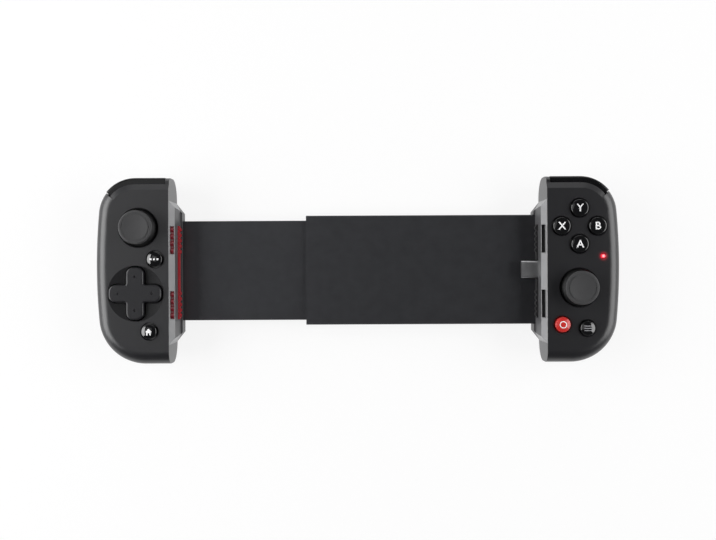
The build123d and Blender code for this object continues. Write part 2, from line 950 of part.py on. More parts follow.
def membrane(domes, stick_place, round_cuts, plug_cut):
    """Rubber sheet on the board with a dome under each key or pad foot."""
    case_room = case_half + case_half + running_gap + running_gap
    with BuildPart() as sheet:
        with BuildSketch(Plane.XY.offset(board_top)):
            with Locations([(out(u), y) for (u, y), low in domes]):
                Circle(dome_base_radius + membrane_margin)
            make_hull()
            with BuildSketch(Plane.XY, mode=Mode.PRIVATE) as limit:
                with Locations((out(membrane_start), 0)):
                    Rectangle(grip_width, grip_half_length * 2, align=(Align.MIN, Align.CENTER))
            add(limit.sketch, mode=Mode.INTERSECT)
            with Locations((out(stick_place[0]), stick_place[1])):
                Rectangle(case_room, case_room, mode=Mode.SUBTRACT)
            for (u, y), radius in round_cuts:
                with Locations((out(u), y)):
                    Circle(radius + running_gap, mode=Mode.SUBTRACT)
            if plug_cut:
                with Locations((inner_x, 0)):
                    Rectangle(
                        plug_base_end + plug_base_end + running_gap + running_gap,
                        plug_base_width + running_gap + running_gap,
                        mode=Mode.SUBTRACT,
                    )
        extrude(amount=membrane_thickness)
        for (u, y), low in domes:
            with Locations((out(u), y, membrane_top)):
                Cone(
                    dome_base_radius,
                    dome_top_radius,
                    low - slip_gap - membrane_top,
                    align=(Align.CENTER, Align.CENTER, Align.MIN),
                )
    return sheet.part


def around(centre, reach):
    """Four places a distance from a centre, one on each arm of the cross."""
    return [
        (centre[0] + reach * cos(radians(turn)), centre[1] + reach * sin(radians(turn)))
        for turn in (0, 90, 180, 270)
    ]


def direction_pad():
    """Cross with its hub under the face, four feet and a socket over the ball."""
    centre = (out(pad_place[0]), pad_place[1])
    hub_top = face_underside - pad_hub_drop
    hub_low = hub_top - pad_hub_thickness
    feet = around(centre, pad_foot_place)
    hollows = around(centre, pad_hollow_place)
    with BuildPart() as pad:
        with BuildSketch(Plane.XY.offset(hub_top)):
            pad_cross(0)
        extrude(amount=pad_top - hub_top)
        fillet(pad.faces().sort_by(Axis.Z)[-1].edges(), pad_edge_round)
        with BuildSketch(Plane.XY.offset(hub_low)):
            with Locations(centre):
                Circle(pad_hub_radius)
        extrude(amount=pad_hub_thickness)
        with BuildSketch(Plane.XY.offset(pad_foot_low)):
            with Locations(feet):
                Circle(pad_foot_radius)
        extrude(amount=hub_low - pad_foot_low)
        with BuildSketch(Plane.XY.offset(pad_ball_height + pad_socket_drop)):
            with Locations(centre):
                Circle(pad_socket_radius)
        extrude(amount=hub_low - pad_ball_height - pad_socket_drop)
        with Locations((*centre, pad_ball_height)):
            Sphere(pad_ball_radius + pad_ball_gap, mode=Mode.SUBTRACT)
        with Locations([(*place, pad_top) for place in hollows]):
            Sphere(pad_hollow_radius, mode=Mode.SUBTRACT)
    return pad.part


def pad_ball():
    """Ball that the direction pad rocks on."""
    with BuildPart() as ball:
        with Locations((out(pad_place[0]), pad_place[1], pad_ball_height)):
            Sphere(pad_ball_radius)
    return ball.part


def light_pipe():
    """Clear pipe that carries the board's light to the face."""
    with BuildPart() as pipe:
        with Locations((out(light_place[0]), light_place[1], board_top)):
            Cylinder(light_foot_radius, light_foot_height, align=(Align.CENTER, Align.CENTER, Align.MIN))
            Cylinder(
                light_radius,
                grip_depth + light_rise - board_top,
                align=(Align.CENTER, Align.CENTER, Align.MIN),
            )
        fillet(pipe.faces().sort_by(Axis.Z)[-1].edges(), light_rise)
    return pipe.part


# Thumb stick pieces, each made about its pivot
def stick_plane(place):
    """Upright plane through a stick's pivot, with the length direction to its right."""
    return Plane((out(place[0]), place[1], stick_pivot_height), x_dir=(1, 0, 0), z_dir=(0, -1, 0))


def stick_case(place):
    """Metal case of the stick module, open below and with a round mouth on top."""
    low = board_top - stick_pivot_height
    with BuildPart() as case:
        with Locations((out(place[0]), place[1], stick_pivot_height + low)):
            Box(
                case_half + case_half,
                case_half + case_half,
                case_top - low,
                align=(Align.CENTER, Align.CENTER, Align.MIN),
            )
            Box(
                case_half + case_half - case_wall - case_wall,
                case_half + case_half - case_wall - case_wall,
                case_top - low - case_wall,
                align=(Align.CENTER, Align.CENTER, Align.MIN),
                mode=Mode.SUBTRACT,
            )
            Cylinder(case_mouth_radius, grip_depth, mode=Mode.SUBTRACT)
    return case.part


def stick_cradle(place):
    """Square frame that slides down in the case and carries both rockers' trunnions."""
    outer = case_half - case_wall - cradle_gap
    inner = outer - cradle_wall
    with BuildPart() as cradle:
        with Locations((out(place[0]), place[1], stick_pivot_height)):
            Box(outer + outer, outer + outer, cradle_half_height + cradle_half_height)
            Box(inner + inner, inner + inner, grip_depth, mode=Mode.SUBTRACT)
            for turn in ((0, 90, 0), (90, 0, 0)):
                Cylinder(
                    trunnion_radius + pin_gap,
                    outer + outer + overrun,
                    rotation=turn,
                    mode=Mode.SUBTRACT,
                )
    return cradle.part


def trunnion_reach():
    """How far a rocker's trunnions reach from the pivot."""
    return case_half - case_wall - cradle_gap - seat_gap


def stick_yoke(place):
    """Lower rocker: a slotted barrel across the grip that the shaft is pinned in."""
    reach = trunnion_reach()
    barrel_half = sqrt(yoke_radius**2 - yoke_barrel**2)
    shoulder_half = sqrt(yoke_radius**2 - trunnion_radius**2)
    axis = Axis((out(place[0]), place[1], stick_pivot_height), (1, 0, 0))
    with BuildPart() as yoke:
        with BuildSketch(stick_plane(place)):
            with BuildLine() as half:
                Polyline(
                    (-reach, 0),
                    (-reach, trunnion_radius),
                    (-shoulder_half, trunnion_radius),
                    (-barrel_half, yoke_barrel),
                    (barrel_half, yoke_barrel),
                    (shoulder_half, trunnion_radius),
                    (reach, trunnion_radius),
                    (reach, 0),
                    close=True,
                )
            make_face(half.edges())
        revolve(axis=axis)
        with Locations((out(place[0]), place[1], stick_pivot_height)):
            Box(
                yoke_slot_half + yoke_slot_half,
                shaft_radius + shaft_radius + slip_gap + slip_gap,
                yoke_radius * 3,
                mode=Mode.SUBTRACT,
            )
            Cylinder(
                shaft_pin_radius + pin_gap,
                yoke_barrel + yoke_barrel + overrun,
                rotation=(90, 0, 0),
                mode=Mode.SUBTRACT,
            )
    return yoke.part


def stick_arch(place):
    """Upper rocker: a slotted half hoop over the yoke, hinged the other way."""
    inner = yoke_radius + arch_gap
    outer = inner + arch_thickness
    with BuildPart() as arch:
        with Locations((out(place[0]), place[1], stick_pivot_height)):
            Sphere(outer)
            Sphere(inner, mode=Mode.SUBTRACT)
            Box(
                arch_half_width + arch_half_width,
                outer + outer,
                outer + outer,
                mode=Mode.INTERSECT,
            )
            Box(
                outer + outer,
                outer + outer,
                outer + outer,
                align=(Align.CENTER, Align.CENTER, Align.MAX),
                mode=Mode.SUBTRACT,
            )
            Box(
                shaft_radius + shaft_radius + arch_slot_side_gap + arch_slot_side_gap,
                arch_slot_half + arch_slot_half,
                outer + outer,
                align=(Align.CENTER, Align.CENTER, Align.MIN),
                mode=Mode.SUBTRACT,
            )
        for side in (1, -1):
            with Locations(
                (out(place[0]), place[1] + side * (inner + trunnion_reach()) / 2, stick_pivot_height)
            ):
                Cylinder(trunnion_radius, trunnion_reach() - inner, rotation=(90, 0, 0))
    return arch.part


def stick_shaft(place):
    """Metal shaft with its cross pin in the yoke."""
    with BuildPart() as shaft:
        with Locations((out(place[0]), place[1], stick_pivot_height - shaft_foot)):
            Cylinder(shaft_radius, shaft_foot + shaft_top, align=(Align.CENTER, Align.CENTER, Align.MIN))
        with Locations((out(place[0]), place[1], stick_pivot_height)):
            Cylinder(shaft_pin_radius, shaft_pin_half + shaft_pin_half, rotation=(90, 0, 0))
    return shaft.part


def stick_cap(place):
    """Soft cap with its stem and the domed skirt that closes the hole in the face."""
    cap_top = cap_low + cap_height
    skirt_inner = skirt_radius - skirt_thickness
    edge_turn = radians(skirt_angle)
    middle_turn = radians(skirt_angle * skirt_middle_share)
    ring_radius = cap_radius * cap_ring_share
    dish_sphere = (cap_dish_radius**2 + cap_dish_depth**2) / (cap_dish_depth + cap_dish_depth)
    with BuildPart() as cap:
        with BuildSketch(stick_plane(place)):
            with BuildLine() as half:
                Line((0, stem_low), (stem_radius, stem_low))
                Line((stem_radius, stem_low), (stem_radius, sqrt(skirt_inner**2 - stem_radius**2)))
                ThreePointArc(
                    (stem_radius, sqrt(skirt_inner**2 - stem_radius**2)),
                    (skirt_inner * sin(middle_turn), skirt_inner * cos(middle_turn)),
                    (skirt_inner * sin(edge_turn), skirt_inner * cos(edge_turn)),
                )
                Line(
                    (skirt_inner * sin(edge_turn), skirt_inner * cos(edge_turn)),
                    (skirt_radius * sin(edge_turn), skirt_radius * cos(edge_turn)),
                )
                ThreePointArc(
                    (skirt_radius * sin(edge_turn), skirt_radius * cos(edge_turn)),
                    (skirt_radius * sin(middle_turn), skirt_radius * cos(middle_turn)),
                    (stem_radius, sqrt(skirt_radius**2 - stem_radius**2)),
                )
                Line((stem_radius, sqrt(skirt_radius**2 - stem_radius**2)), (stem_radius, cap_low))
                Line((stem_radius, cap_low), (cap_radius - cap_round, cap_low))
                Line((cap_radius - cap_round, cap_low), (cap_radius, cap_low + cap_round))
                Line((cap_radius, cap_low + cap_round), (cap_radius, cap_top - cap_round))
                RadiusArc((cap_radius, cap_top - cap_round), (cap_radius - cap_round, cap_top), -cap_round)
                Line((cap_radius - cap_round, cap_top), (0, cap_top))
                Line((0, cap_top), (0, stem_low))
            make_face(half.edges())
        revolve(axis=Axis((out(place[0]), place[1], 0), (0, 0, 1)))
        dish_low = stick_pivot_height + cap_top - cap_dish_depth
        with Locations((out(place[0]), place[1], dish_low + dish_sphere)):
            Sphere(dish_sphere, mode=Mode.SUBTRACT)
        with BuildSketch(Plane.XY.offset(stick_pivot_height + cap_top)):
            with Locations((out(place[0]), place[1])):
                Circle(ring_radius + cap_ring_width / 2)
                Circle(ring_radius - cap_ring_width / 2, mode=Mode.SUBTRACT)
        extrude(amount=-cap_ring_depth, mode=Mode.SUBTRACT)
        with Locations((out(place[0]), place[1], stick_pivot_height)):
            Cylinder(
                shaft_radius + seat_gap,
                shaft_top + seat_gap,
                align=(Align.CENTER, Align.CENTER, Align.MIN),
                mode=Mode.SUBTRACT,
            )
    return cap.part


# Shoulder pieces
def bumper():
    """Shoulder bumper: a curved bar in the notch, on an upright pin near its inner end."""
    with BuildPart() as bar:
        add(
            shoulder_sector(
                shoulder_start + bumper_end_play,
                shoulder_end_angle + shoulder_end_play_angle,
                bumper_bottom,
                bumper_top,
            )
        )
        add(outline_prism(0, -overrun, grip_depth + overrun), mode=Mode.INTERSECT)
        add(outline_prism(bumper_band, -overrun, grip_depth + overrun), mode=Mode.SUBTRACT)
        top_edges = bar.faces().sort_by(Axis.Z)[-1].edges()
        fillet(top_edges.sort_by(Axis.Y)[-1], bumper_round)
        with Locations((*bumper_pin_place(), bumper_bottom - overrun)):
            Cylinder(
                bumper_pin_radius + pin_gap,
                bumper_height - bumper_roof + overrun,
                align=(Align.CENTER, Align.CENTER, Align.MIN),
                mode=Mode.SUBTRACT,
            )
    return bar.part


def bumper_pin():
    """Upright pin pressed into the notch floor."""
    with BuildPart() as pin:
        with Locations((*bumper_pin_place(), parting_height)):
            Cylinder(
                bumper_pin_radius,
                bumper_top - bumper_roof - parting_height - slip_gap,
                align=(Align.CENTER, Align.CENTER, Align.MIN),
            )
    return pin.part


def trigger():
    """Trigger: the rounded back corner of the shoulder as a key on a cross pin."""
    with BuildPart() as key:
        add(envelope)
        add(
            corner_block(
                trigger_start,
                trigger_end,
                trigger_inner_y,
                trigger_low,
                parting_height - trigger_top_gap,
            ),
            mode=Mode.INTERSECT,
        )
        with BuildSketch(Plane.YZ.offset(out(trigger_ear_start - trigger_end_play))):
            with Locations((trigger_pin_y, trigger_pin_height)):
                Circle(trigger_knuckle)
            with Locations((trigger_pin_y, trigger_pin_height - trigger_knuckle)):
                Rectangle(
                    trigger_pin_y,
                    grip_depth,
                    align=(Align.MAX, Align.MIN),
                )
        extrude(amount=trigger_notch_width, mode=Mode.SUBTRACT)
        slope_run = trigger_pin_y - trigger_pocket_y
        with BuildSketch(Plane.YZ.offset(inner_x - overrun)):
            with BuildLine() as slope:
                Polyline(
                    (trigger_pin_y, parting_height - trigger_top_gap),
                    (
                        trigger_pocket_y,
                        parting_height - trigger_top_gap - slope_run * tan(radians(trigger_top_slope)),
                    ),
                    (trigger_pocket_y, parting_height),
                    (trigger_pin_y, parting_height),
                    close=True,
                )
            make_face(slope.edges())
        extrude(amount=grip_width, mode=Mode.SUBTRACT)
        with BuildSketch(Plane.YZ.offset(inner_x + thin_wall)):
            with Locations((trigger_pin_y, trigger_pin_height)):
                Circle(trigger_pin_radius + pin_gap)
        extrude(amount=grip_width, mode=Mode.SUBTRACT)
    return key.part


def trigger_pin():
    """Pin that the trigger turns on, held in the rib and the pocket's end wall."""
    start = inner_x + thin_wall + slip_gap
    end = out(pocket_end + thin_wall)
    with BuildPart() as pin:
        with BuildSketch(Plane.YZ.offset(start)):
            with Locations((trigger_pin_y, trigger_pin_height)):
                Circle(trigger_pin_radius)
        extrude(amount=end - start)
    return pin.part


def trigger_spring():
    """Torsion spring round the trigger's pin, with one leg each way."""
    start = out(trigger_ear_start + trigger_ear_width + running_gap) + spring_wire
    centre = (start, trigger_pin_y, trigger_pin_height)
    across = Plane(centre, x_dir=(0, 0, 1), z_dir=(1, 0, 0))
    wire = across * Helix(spring_pitch, spring_turns * spring_pitch, spring_coil_radius)
    first = wire @ 0
    last = wire @ 1
    with BuildPart() as spring:
        with BuildSketch(Plane(first, z_dir=wire % 0)):
            Circle(spring_wire)
        sweep(path=wire, is_frenet=True)
        with BuildSketch(Plane(first, z_dir=(0, -1, 0))):
            Circle(spring_wire)
        extrude(amount=first.Y - trigger_pocket_y - slip_gap)
        with BuildSketch(Plane(last, z_dir=(0, 0, -1))):
            Circle(spring_wire)
        extrude(amount=last.Z - trigger_pin_height + trigger_knuckle - slip_gap)
    return spring.part


def shoulder_switches():
    """Two tact switches: one behind the bumper, one behind the trigger."""
    bumper_back_y = grip_half_length - bumper_band
    bumper_move = (bumper_switch_u + switch_plunger_radius - bumper_pin_u) * tan(radians(bumper_swing_angle))
    bumper_tip_y = bumper_back_y - bumper_move - bumper_plunger_slack
    notch_wall_y = grip_half_length - notch_depth
    drop = trigger_pin_height - trigger_switch_height + switch_plunger_radius
    trigger_move = drop * sin(radians(trigger_swing_angle))
    trigger_tip_y = trigger_inner_y - trigger_move - trigger_plunger_slack
    with BuildPart() as switches:
        add(bumper_switch_window(0))
        add(trigger_switch_window(0))
        with BuildSketch(Plane.XZ.offset(-notch_wall_y)):
            with Locations((out(bumper_switch_u), (bumper_bottom + bumper_top) / 2)):
                Circle(switch_plunger_radius)
        extrude(amount=notch_wall_y - bumper_tip_y)
        with BuildSketch(Plane.XZ.offset(-trigger_pocket_y)):
            with Locations((out(trigger_switch_u), trigger_switch_height)):
                Circle(switch_plunger_radius)
        extrude(amount=trigger_pocket_y - trigger_tip_y)
    return switches.part


def slot_inserts(rib_count, drop):
    """Soft inserts in a stop's two slots, with upright ribs where a count is given."""
    low = grip_depth - stop_lead_drop - slot_depth
    middle_x = inner_x - slot_edge - slot_width / 2
    surface = grip_depth - (slot_edge + slot_width / 2) * stop_lead_drop / stop_lead
    pitch = slot_length / max(rib_count, 1)
    with BuildPart() as inserts:
        for place_y in (slot_top_y, slot_low_y):
            with Locations((middle_x, place_y, low)):
                Box(
                    slot_width - insert_play - insert_play,
                    slot_length - insert_play - insert_play,
                    surface - drop - low,
                    align=(Align.CENTER, Align.CENTER, Align.MIN),
                )
            for index in range(rib_count):
                rib_y = place_y + (index - (rib_count - 1) / 2) * pitch
                with Locations((middle_x, rib_y, surface - drop)):
                    Cylinder(pad_rib_radius, slot_width - insert_play - insert_play, rotation=(0, 90, 0))
    return inserts.part


def box_between(low, high):
    """Plain box between two corners."""
    with BuildPart() as block:
        with Locations([tuple((a + b) / 2 for a, b in zip(low, high))]):
            Box(*(b - a for a, b in zip(low, high)))
    return block.part


# Sliding bridge
def spring_block_span():
    """Start and end of the blocks in the right grip that hold the draw springs."""
    return out(spring_block_u), out(spring_block_u + spring_block_length)


def anchor_places(side):
    """Places of the two screws that hold the bridge in one grip."""
    return [(side * out(anchor_u), anchor_y), (side * out(anchor_u), -anchor_y)]


def rail_screw_places():
    """Places of the screws that close the sleeve along both rails."""
    rail_y = sleeve_half_width - sleeve_side / 2
    return [
        (-bridge_screw_start + row * bridge_screw_pitch, side * rail_y)
        for row in range(bridge_screw_rows)
        for side in (1, -1)
    ]


def sleeve_front():
    """Face plate of the sleeve with its two side rails; it is the bay's floor."""
    end_x = out(grip_reach)
    with BuildPart() as sleeve:
        add(
            box_between(
                (-sleeve_left_reach, -sleeve_half_width, cavity_low),
                (end_x, sleeve_half_width, sleeve_high),
            )
        )
        chamfer(
            sleeve.edges().filter_by(Axis.X).group_by(Axis.Z)[-1],
            sleeve_edge,
        )
        add(
            box_between(
                (-sleeve_left_reach - overrun, -sleeve_half_width + sleeve_side, cavity_low - overrun),
                (end_x + overrun, sleeve_half_width - sleeve_side, cavity_high),
            ),
            mode=Mode.SUBTRACT,
        )
        with BuildSketch(Plane.XY.offset(cavity_low)):
            with Locations(anchor_places(1)):
                Circle(anchor_radius)
        extrude(amount=cavity_high - cavity_low)
        with BuildSketch(Plane.XY.offset(cavity_low)):
            with Locations(rail_screw_places()):
                Circle(bridge_screw_radius + pin_gap)
        extrude(
            amount=bridge_screw_length + slip_gap - sleeve_plate + bridge_screw_head_height,
            mode=Mode.SUBTRACT,
        )
        with BuildSketch(Plane.XY.offset(cavity_low)):
            with Locations(anchor_places(1)):
                Circle(bridge_screw_radius + pin_gap)
        extrude(
            amount=bridge_screw_head_height + anchor_screw_length + slip_gap - cavity_low,
            mode=Mode.SUBTRACT,
        )
    return sleeve.part


def sleeve_back():
    """Back plate of the sleeve with the blocks that hold the draw springs."""
    start_x, stop_x = spring_block_span()
    with BuildPart() as plate:
        add(
            box_between(
                (-sleeve_left_reach, -sleeve_half_width, sleeve_low),
                (out(grip_reach), sleeve_half_width, cavity_low),
            )
        )
        chamfer(plate.edges().filter_by(Axis.X).group_by(Axis.Z)[0], sleeve_edge)
        for side in (1, -1):
            add(
                box_between(
                    (start_x, side * spring_place_y - spring_block_half, cavity_low),
                    (stop_x, side * spring_place_y + spring_block_half, cavity_high - slip_gap),
                )
            )
            with BuildSketch(Plane.YZ.offset(start_x)):
                with Locations((side * spring_place_y, sleeve_mid)):
                    Circle(draw_spring_wire + pin_gap)
            extrude(amount=draw_spring_end + slip_gap, mode=Mode.SUBTRACT)
        with BuildSketch(Plane.XY.offset(sleeve_low - overrun)):
            with Locations(rail_screw_places() + anchor_places(1)):
                Circle(bridge_screw_radius + pin_gap)
        extrude(amount=sleeve_plate + overrun + overrun, mode=Mode.SUBTRACT)
        with BuildSketch(Plane.XY.offset(sleeve_low)):
            with Locations(rail_screw_places()):
                Circle(bridge_screw_head_radius + slip_gap / 2)
        extrude(amount=bridge_screw_head_height, mode=Mode.SUBTRACT)
    return plate.part


def bridge_tongue():
    """Flat tongue of the left grip that slides in the sleeve."""
    groove_half = flex_half_width + slip_gap + slip_gap
    with BuildPart() as tongue:
        add(
            box_between(
                (-out(grip_reach), -tongue_half_width, tongue_low),
                (tongue_reach, tongue_half_width, tongue_high),
            )
        )
        add(
            box_between(
                (tongue_reach - flex_slot_reach, -flex_slot_half, tongue_low - overrun),
                (tongue_reach + overrun, flex_slot_half, tongue_high + overrun),
            ),
            mode=Mode.SUBTRACT,
        )
        add(
            box_between(
                (-out(grip_reach) - overrun, -groove_half, tongue_low - overrun),
                (tongue_reach + overrun, groove_half, tongue_low + flex_groove),
            ),
            mode=Mode.SUBTRACT,
        )
        for side in (1, -1):
            add(
                box_between(
                    (
                        tongue_reach - spring_slot_reach,
                        side * spring_place_y - spring_slot_half,
                        tongue_low - overrun,
                    ),
                    (
                        tongue_reach + overrun,
                        side * spring_place_y + spring_slot_half,
                        tongue_high + overrun,
                    ),
                ),
                mode=Mode.SUBTRACT,
            )
            with BuildSketch(Plane.YZ.offset(tongue_reach - spring_slot_reach)):
                with Locations((side * spring_place_y, sleeve_mid)):
                    Circle(draw_spring_wire + pin_gap)
            extrude(amount=-(draw_spring_end + slip_gap), mode=Mode.SUBTRACT)
        with BuildSketch(Plane.XY.offset(tongue_low - overrun)):
            with Locations(anchor_places(-1)):
                Circle(bridge_screw_radius + pin_gap)
        extrude(
            amount=overrun + bridge_screw_head_height + anchor_screw_length + slip_gap - tongue_low,
            mode=Mode.SUBTRACT,
        )
    return tongue.part


def draw_spring_turns():
    """Length of the coiled stretch and its whole number of turns."""
    span = spring_block_span()[0] - (tongue_reach - spring_slot_reach) - running_gap - running_gap
    turns = int(span / draw_spring_pitch)
    return span, turns


def draw_springs():
    """Two long springs that draw the grips together, with a straight end at each end."""
    span, turns = draw_spring_turns()
    start = tongue_reach - spring_slot_reach + running_gap
    wires = {
        side: Plane((start, side * spring_place_y, sleeve_mid), x_dir=(0, 1, 0), z_dir=(1, 0, 0))
        * Helix(span / turns, span, draw_spring_radius)
        for side in (1, -1)
    }
    with BuildPart() as springs:
        for side, wire in wires.items():
            with BuildSketch(Plane(wire @ 0, z_dir=wire % 0)):
                Circle(draw_spring_wire)
            sweep(path=wire, is_frenet=True)
            for end_x, direction in ((start, -1), (start + span, 1)):
                with BuildSketch(Plane.YZ.offset(end_x)):
                    with Locations((side * spring_place_y, sleeve_mid)):
                        Circle(draw_spring_wire)
                extrude(amount=direction * (draw_spring_end + running_gap))
                with BuildSketch(
                    Plane((end_x, side * spring_place_y, sleeve_mid), x_dir=(1, 0, 0), z_dir=(0, 1, 0))
                ):
                    Circle(draw_spring_wire)
                extrude(amount=draw_spring_radius)
    return springs.part


def flex_cable():
    """Flat cable that joins the two boards and folds in the sleeve as the bridge slides."""
    left_x = -out(grip_reach + flex_play)
    right_x = out(grip_reach + flex_play)
    low_z = tongue_low + flex_groove / 2
    high_z = cavity_high - flex_thickness - slip_gap
    with BuildPart() as cable:
        with BuildSketch(Plane.XZ.offset(-flex_half_width)) as ribbon:
            with BuildLine() as path:
                FilletPolyline(
                    (left_x, board_low - slip_gap),
                    (left_x, low_z),
                    (flex_fold_far, low_z),
                    (flex_fold_far, (low_z + high_z) / 2),
                    (flex_fold_near, (low_z + high_z) / 2),
                    (flex_fold_near, high_z),
                    (right_x, high_z),
                    (right_x, board_low - slip_gap),
                    radius=flex_fold_bend,
                )
            trace(path.line, line_width=flex_thickness)
        extrude(amount=flex_half_width + flex_half_width)
    return cable.part


def screws(places, seat, length, radius, head_radius, head_height):
    """Group of like screws."""
    with BuildPart() as group:
        for place in places:
            add(screw(place, seat, length, radius, head_radius, head_height))
    return group.part


# Plug in the bay and charging socket
def usb_plug():
    """Metal plug that stands in the bay from the right end stop, with its moulded base."""
    tip_x = bay_length / 2 - plug_reach
    base_x = inner_x - plug_base_start
    with BuildPart() as plug:
        with BuildSketch(Plane.YZ.offset(tip_x)):
            with Locations((0, plug_centre_height)):
                SlotOverall(plug_width, plug_height)
        extrude(amount=base_x - tip_x)
        with BuildSketch(Plane.YZ.offset(tip_x)):
            with Locations((0, plug_centre_height)):
                SlotOverall(plug_width - plug_skin - plug_skin, plug_height - plug_skin - plug_skin)
        extrude(amount=plug_depth, mode=Mode.SUBTRACT)
        with BuildSketch(Plane.YZ.offset(base_x)):
            with Locations((0, plug_centre_height)):
                RectangleRounded(plug_base_width, plug_base_height, plug_skin)
        extrude(amount=plug_base_start + plug_base_end)
    return plug.part


def port_place():
    """Centre of the charging socket in the bottom end of the right grip."""
    return out(port_place_u), board_top + port_height / 2


def port_opening():
    """Hole in both shells for the charging socket."""
    with BuildPart() as hole:
        with BuildSketch(Plane.XZ.offset(grip_half_length + overrun)):
            with Locations(port_place()):
                SlotOverall(port_width + port_gap + port_gap, port_height + port_gap + port_gap)
        extrude(amount=-(wall + overrun + overrun))
    return hole.part


def charge_port():
    """Charging socket on the right board, with the tongue in its mouth."""
    mouth = grip_half_length - port_recess
    with BuildPart() as port:
        with BuildSketch(Plane.XZ.offset(mouth)):
            with Locations(port_place()):
                SlotOverall(port_width, port_height)
        extrude(amount=-port_depth)
        with BuildSketch(Plane.XZ.offset(mouth)):
            with Locations(port_place()):
                SlotOverall(port_width - port_skin - port_skin, port_height - port_skin - port_skin)
        extrude(amount=-port_cavity_depth, mode=Mode.SUBTRACT)
        with BuildSketch(Plane.XZ.offset(mouth - port_cavity_depth)):
            with Locations(port_place()):
                Rectangle(port_tongue_width, port_tongue_height)
        extrude(amount=port_tongue_length)
    return port.part


def with_port(shell):
    """Shell with the charging socket's hole cut."""
    with BuildPart() as cut:
        add(shell)
        add(port_opening(), mode=Mode.SUBTRACT)
    return cut.part


# The keys and pad feet of each grip, and what the membrane leaves room for
face_keys = {
    "button_a": (face_key_centre[0], face_key_centre[1] - face_key_spacing),
    "button_b": (face_key_centre[0] + face_key_spacing, face_key_centre[1]),
    "button_x": (face_key_centre[0] - face_key_spacing, face_key_centre[1]),
    "button_y": (face_key_centre[0], face_key_centre[1] + face_key_spacing),
}
right_keys = {name: (place, face_key_radius) for name, place in face_keys.items()}
right_keys["turbo_button"] = (turbo_key_place, turbo_key_radius)
right_keys["menu_button"] = (menu_key_place, menu_key_radius)
left_keys = {
    "options_button": (options_key_place, options_key_radius),
    "home_button": (home_key_place, home_key_radius),
}
pad_feet = [
    (pad_place[0] + pad_foot_place, pad_place[1]),
    (pad_place[0] - pad_foot_place, pad_place[1]),
    (pad_place[0], pad_place[1] + pad_foot_place),
    (pad_place[0], pad_place[1] - pad_foot_place),
]
right_domes = [(place, key_stem_low) for place, radius in right_keys.values()]
left_domes = [(place, key_stem_low) for place, radius in left_keys.values()]
left_domes += [(place, pad_foot_low) for place in pad_feet]
post_cuts = [(place, front_post_radius) for place in post_places]
right_holes = [(place, radius + key_gap) for place, radius in right_keys.values()]
left_holes = [(place, radius + key_gap) for place, radius in left_keys.values()]

finished = {}


def keep(name, piece, left=False):
    """Keep a piece under its name, mirrored to the left side where asked."""
    with BuildPart() as placed:
        add(piece)
        if left:
            mirror(about=Plane.YZ, mode=Mode.REPLACE)
    finished[name] = placed.part


# Right grip, which stays
shell_front = front_blank()
shell_back = back_blank()
right_front = front_shell(
    shell_front, [*right_holes, (light_place, light_radius + pin_gap)], right_stick_place, False
)
keep("right_front_shell", with_port(right_front))
keep("right_back_shell", with_port(back_shell(shell_back, False, sleeve_low)))
keep("right_end_stop", end_stop(sleeve_half_width, sleeve_low, sleeve_high, True))
keep("right_slot_inserts", slot_inserts(0, insert_drop + insert_drop))
keep("right_contact_strip", contact_strip(strip_rib_count, True))
keep("right_board", board(False))
keep(
    "right_key_membrane",
    membrane(right_domes, right_stick_place, [*post_cuts, (light_place, light_foot_radius)], True),
)
for key_name, (key_place, key_radius) in right_keys.items():
    keep(key_name, round_key(key_place, key_radius))
keep("light_pipe", light_pipe())
keep("usb_plug", usb_plug())
keep("charge_port", charge_port())

# Left grip, which slides
keep("left_front_shell", front_shell(shell_front, left_holes, left_stick_place, True), left=True)
keep("left_back_shell", back_shell(shell_back, True, tongue_low), left=True)
keep("left_end_stop", end_stop(tongue_half_width, tongue_low, tongue_high, False), left=True)
keep("left_slot_inserts", slot_inserts(pad_rib_count, insert_drop), left=True)
keep("left_contact_strip", contact_strip(strip_rib_count, False), left=True)
keep("left_board", board(True), left=True)
keep(
    "left_key_membrane",
    membrane(left_domes, left_stick_place, [*post_cuts, (pad_place, pad_post_radius)], False),
    left=True,
)
for key_name, (key_place, key_radius) in left_keys.items():
    keep(key_name, round_key(key_place, key_radius), left=True)
keep("direction_pad", direction_pad(), left=True)
keep("pad_ball", pad_ball(), left=True)

# What both grips have
with BuildPart() as grip_screws:
    add(
        screws(
            post_spots,
            screw_head_seat + screw_head_height,
            screw_length,
            screw_radius,
            screw_head_radius,
            screw_head_height,
        )
    )
    add(
        screws(
            anchor_places(1),
            bridge_screw_head_height,
            anchor_screw_length,
            bridge_screw_radius,
            bridge_screw_head_radius,
            bridge_screw_head_height,
        )
    )
shared_pieces = {
    "bumper": bumper(),
    "bumper_pin": bumper_pin(),
    "trigger": trigger(),
    "trigger_pin": trigger_pin(),
    "trigger_spring": trigger_spring(),
    "shoulder_switches": shoulder_switches(),
    "grip_screws": grip_screws.part,
}
for side_name, stick_place in (("right", right_stick_place), ("left", left_stick_place)):
    is_left = side_name == "left"
    keep(f"{side_name}_stick_case", stick_case(stick_place), is_left)
    keep(f"{side_name}_stick_cradle", stick_cradle(stick_place), is_left)
    keep(f"{side_name}_stick_yoke", stick_yoke(stick_place), is_left)
    keep(f"{side_name}_stick_arch", stick_arch(stick_place), is_left)
    keep(f"{side_name}_stick_shaft", stick_shaft(stick_place), is_left)
    keep(f"{side_name}_stick_cap", stick_cap(stick_place), is_left)
    for piece_name, piece in shared_pieces.items():
        keep(f"{side_name}_{piece_name}", piece, is_left)

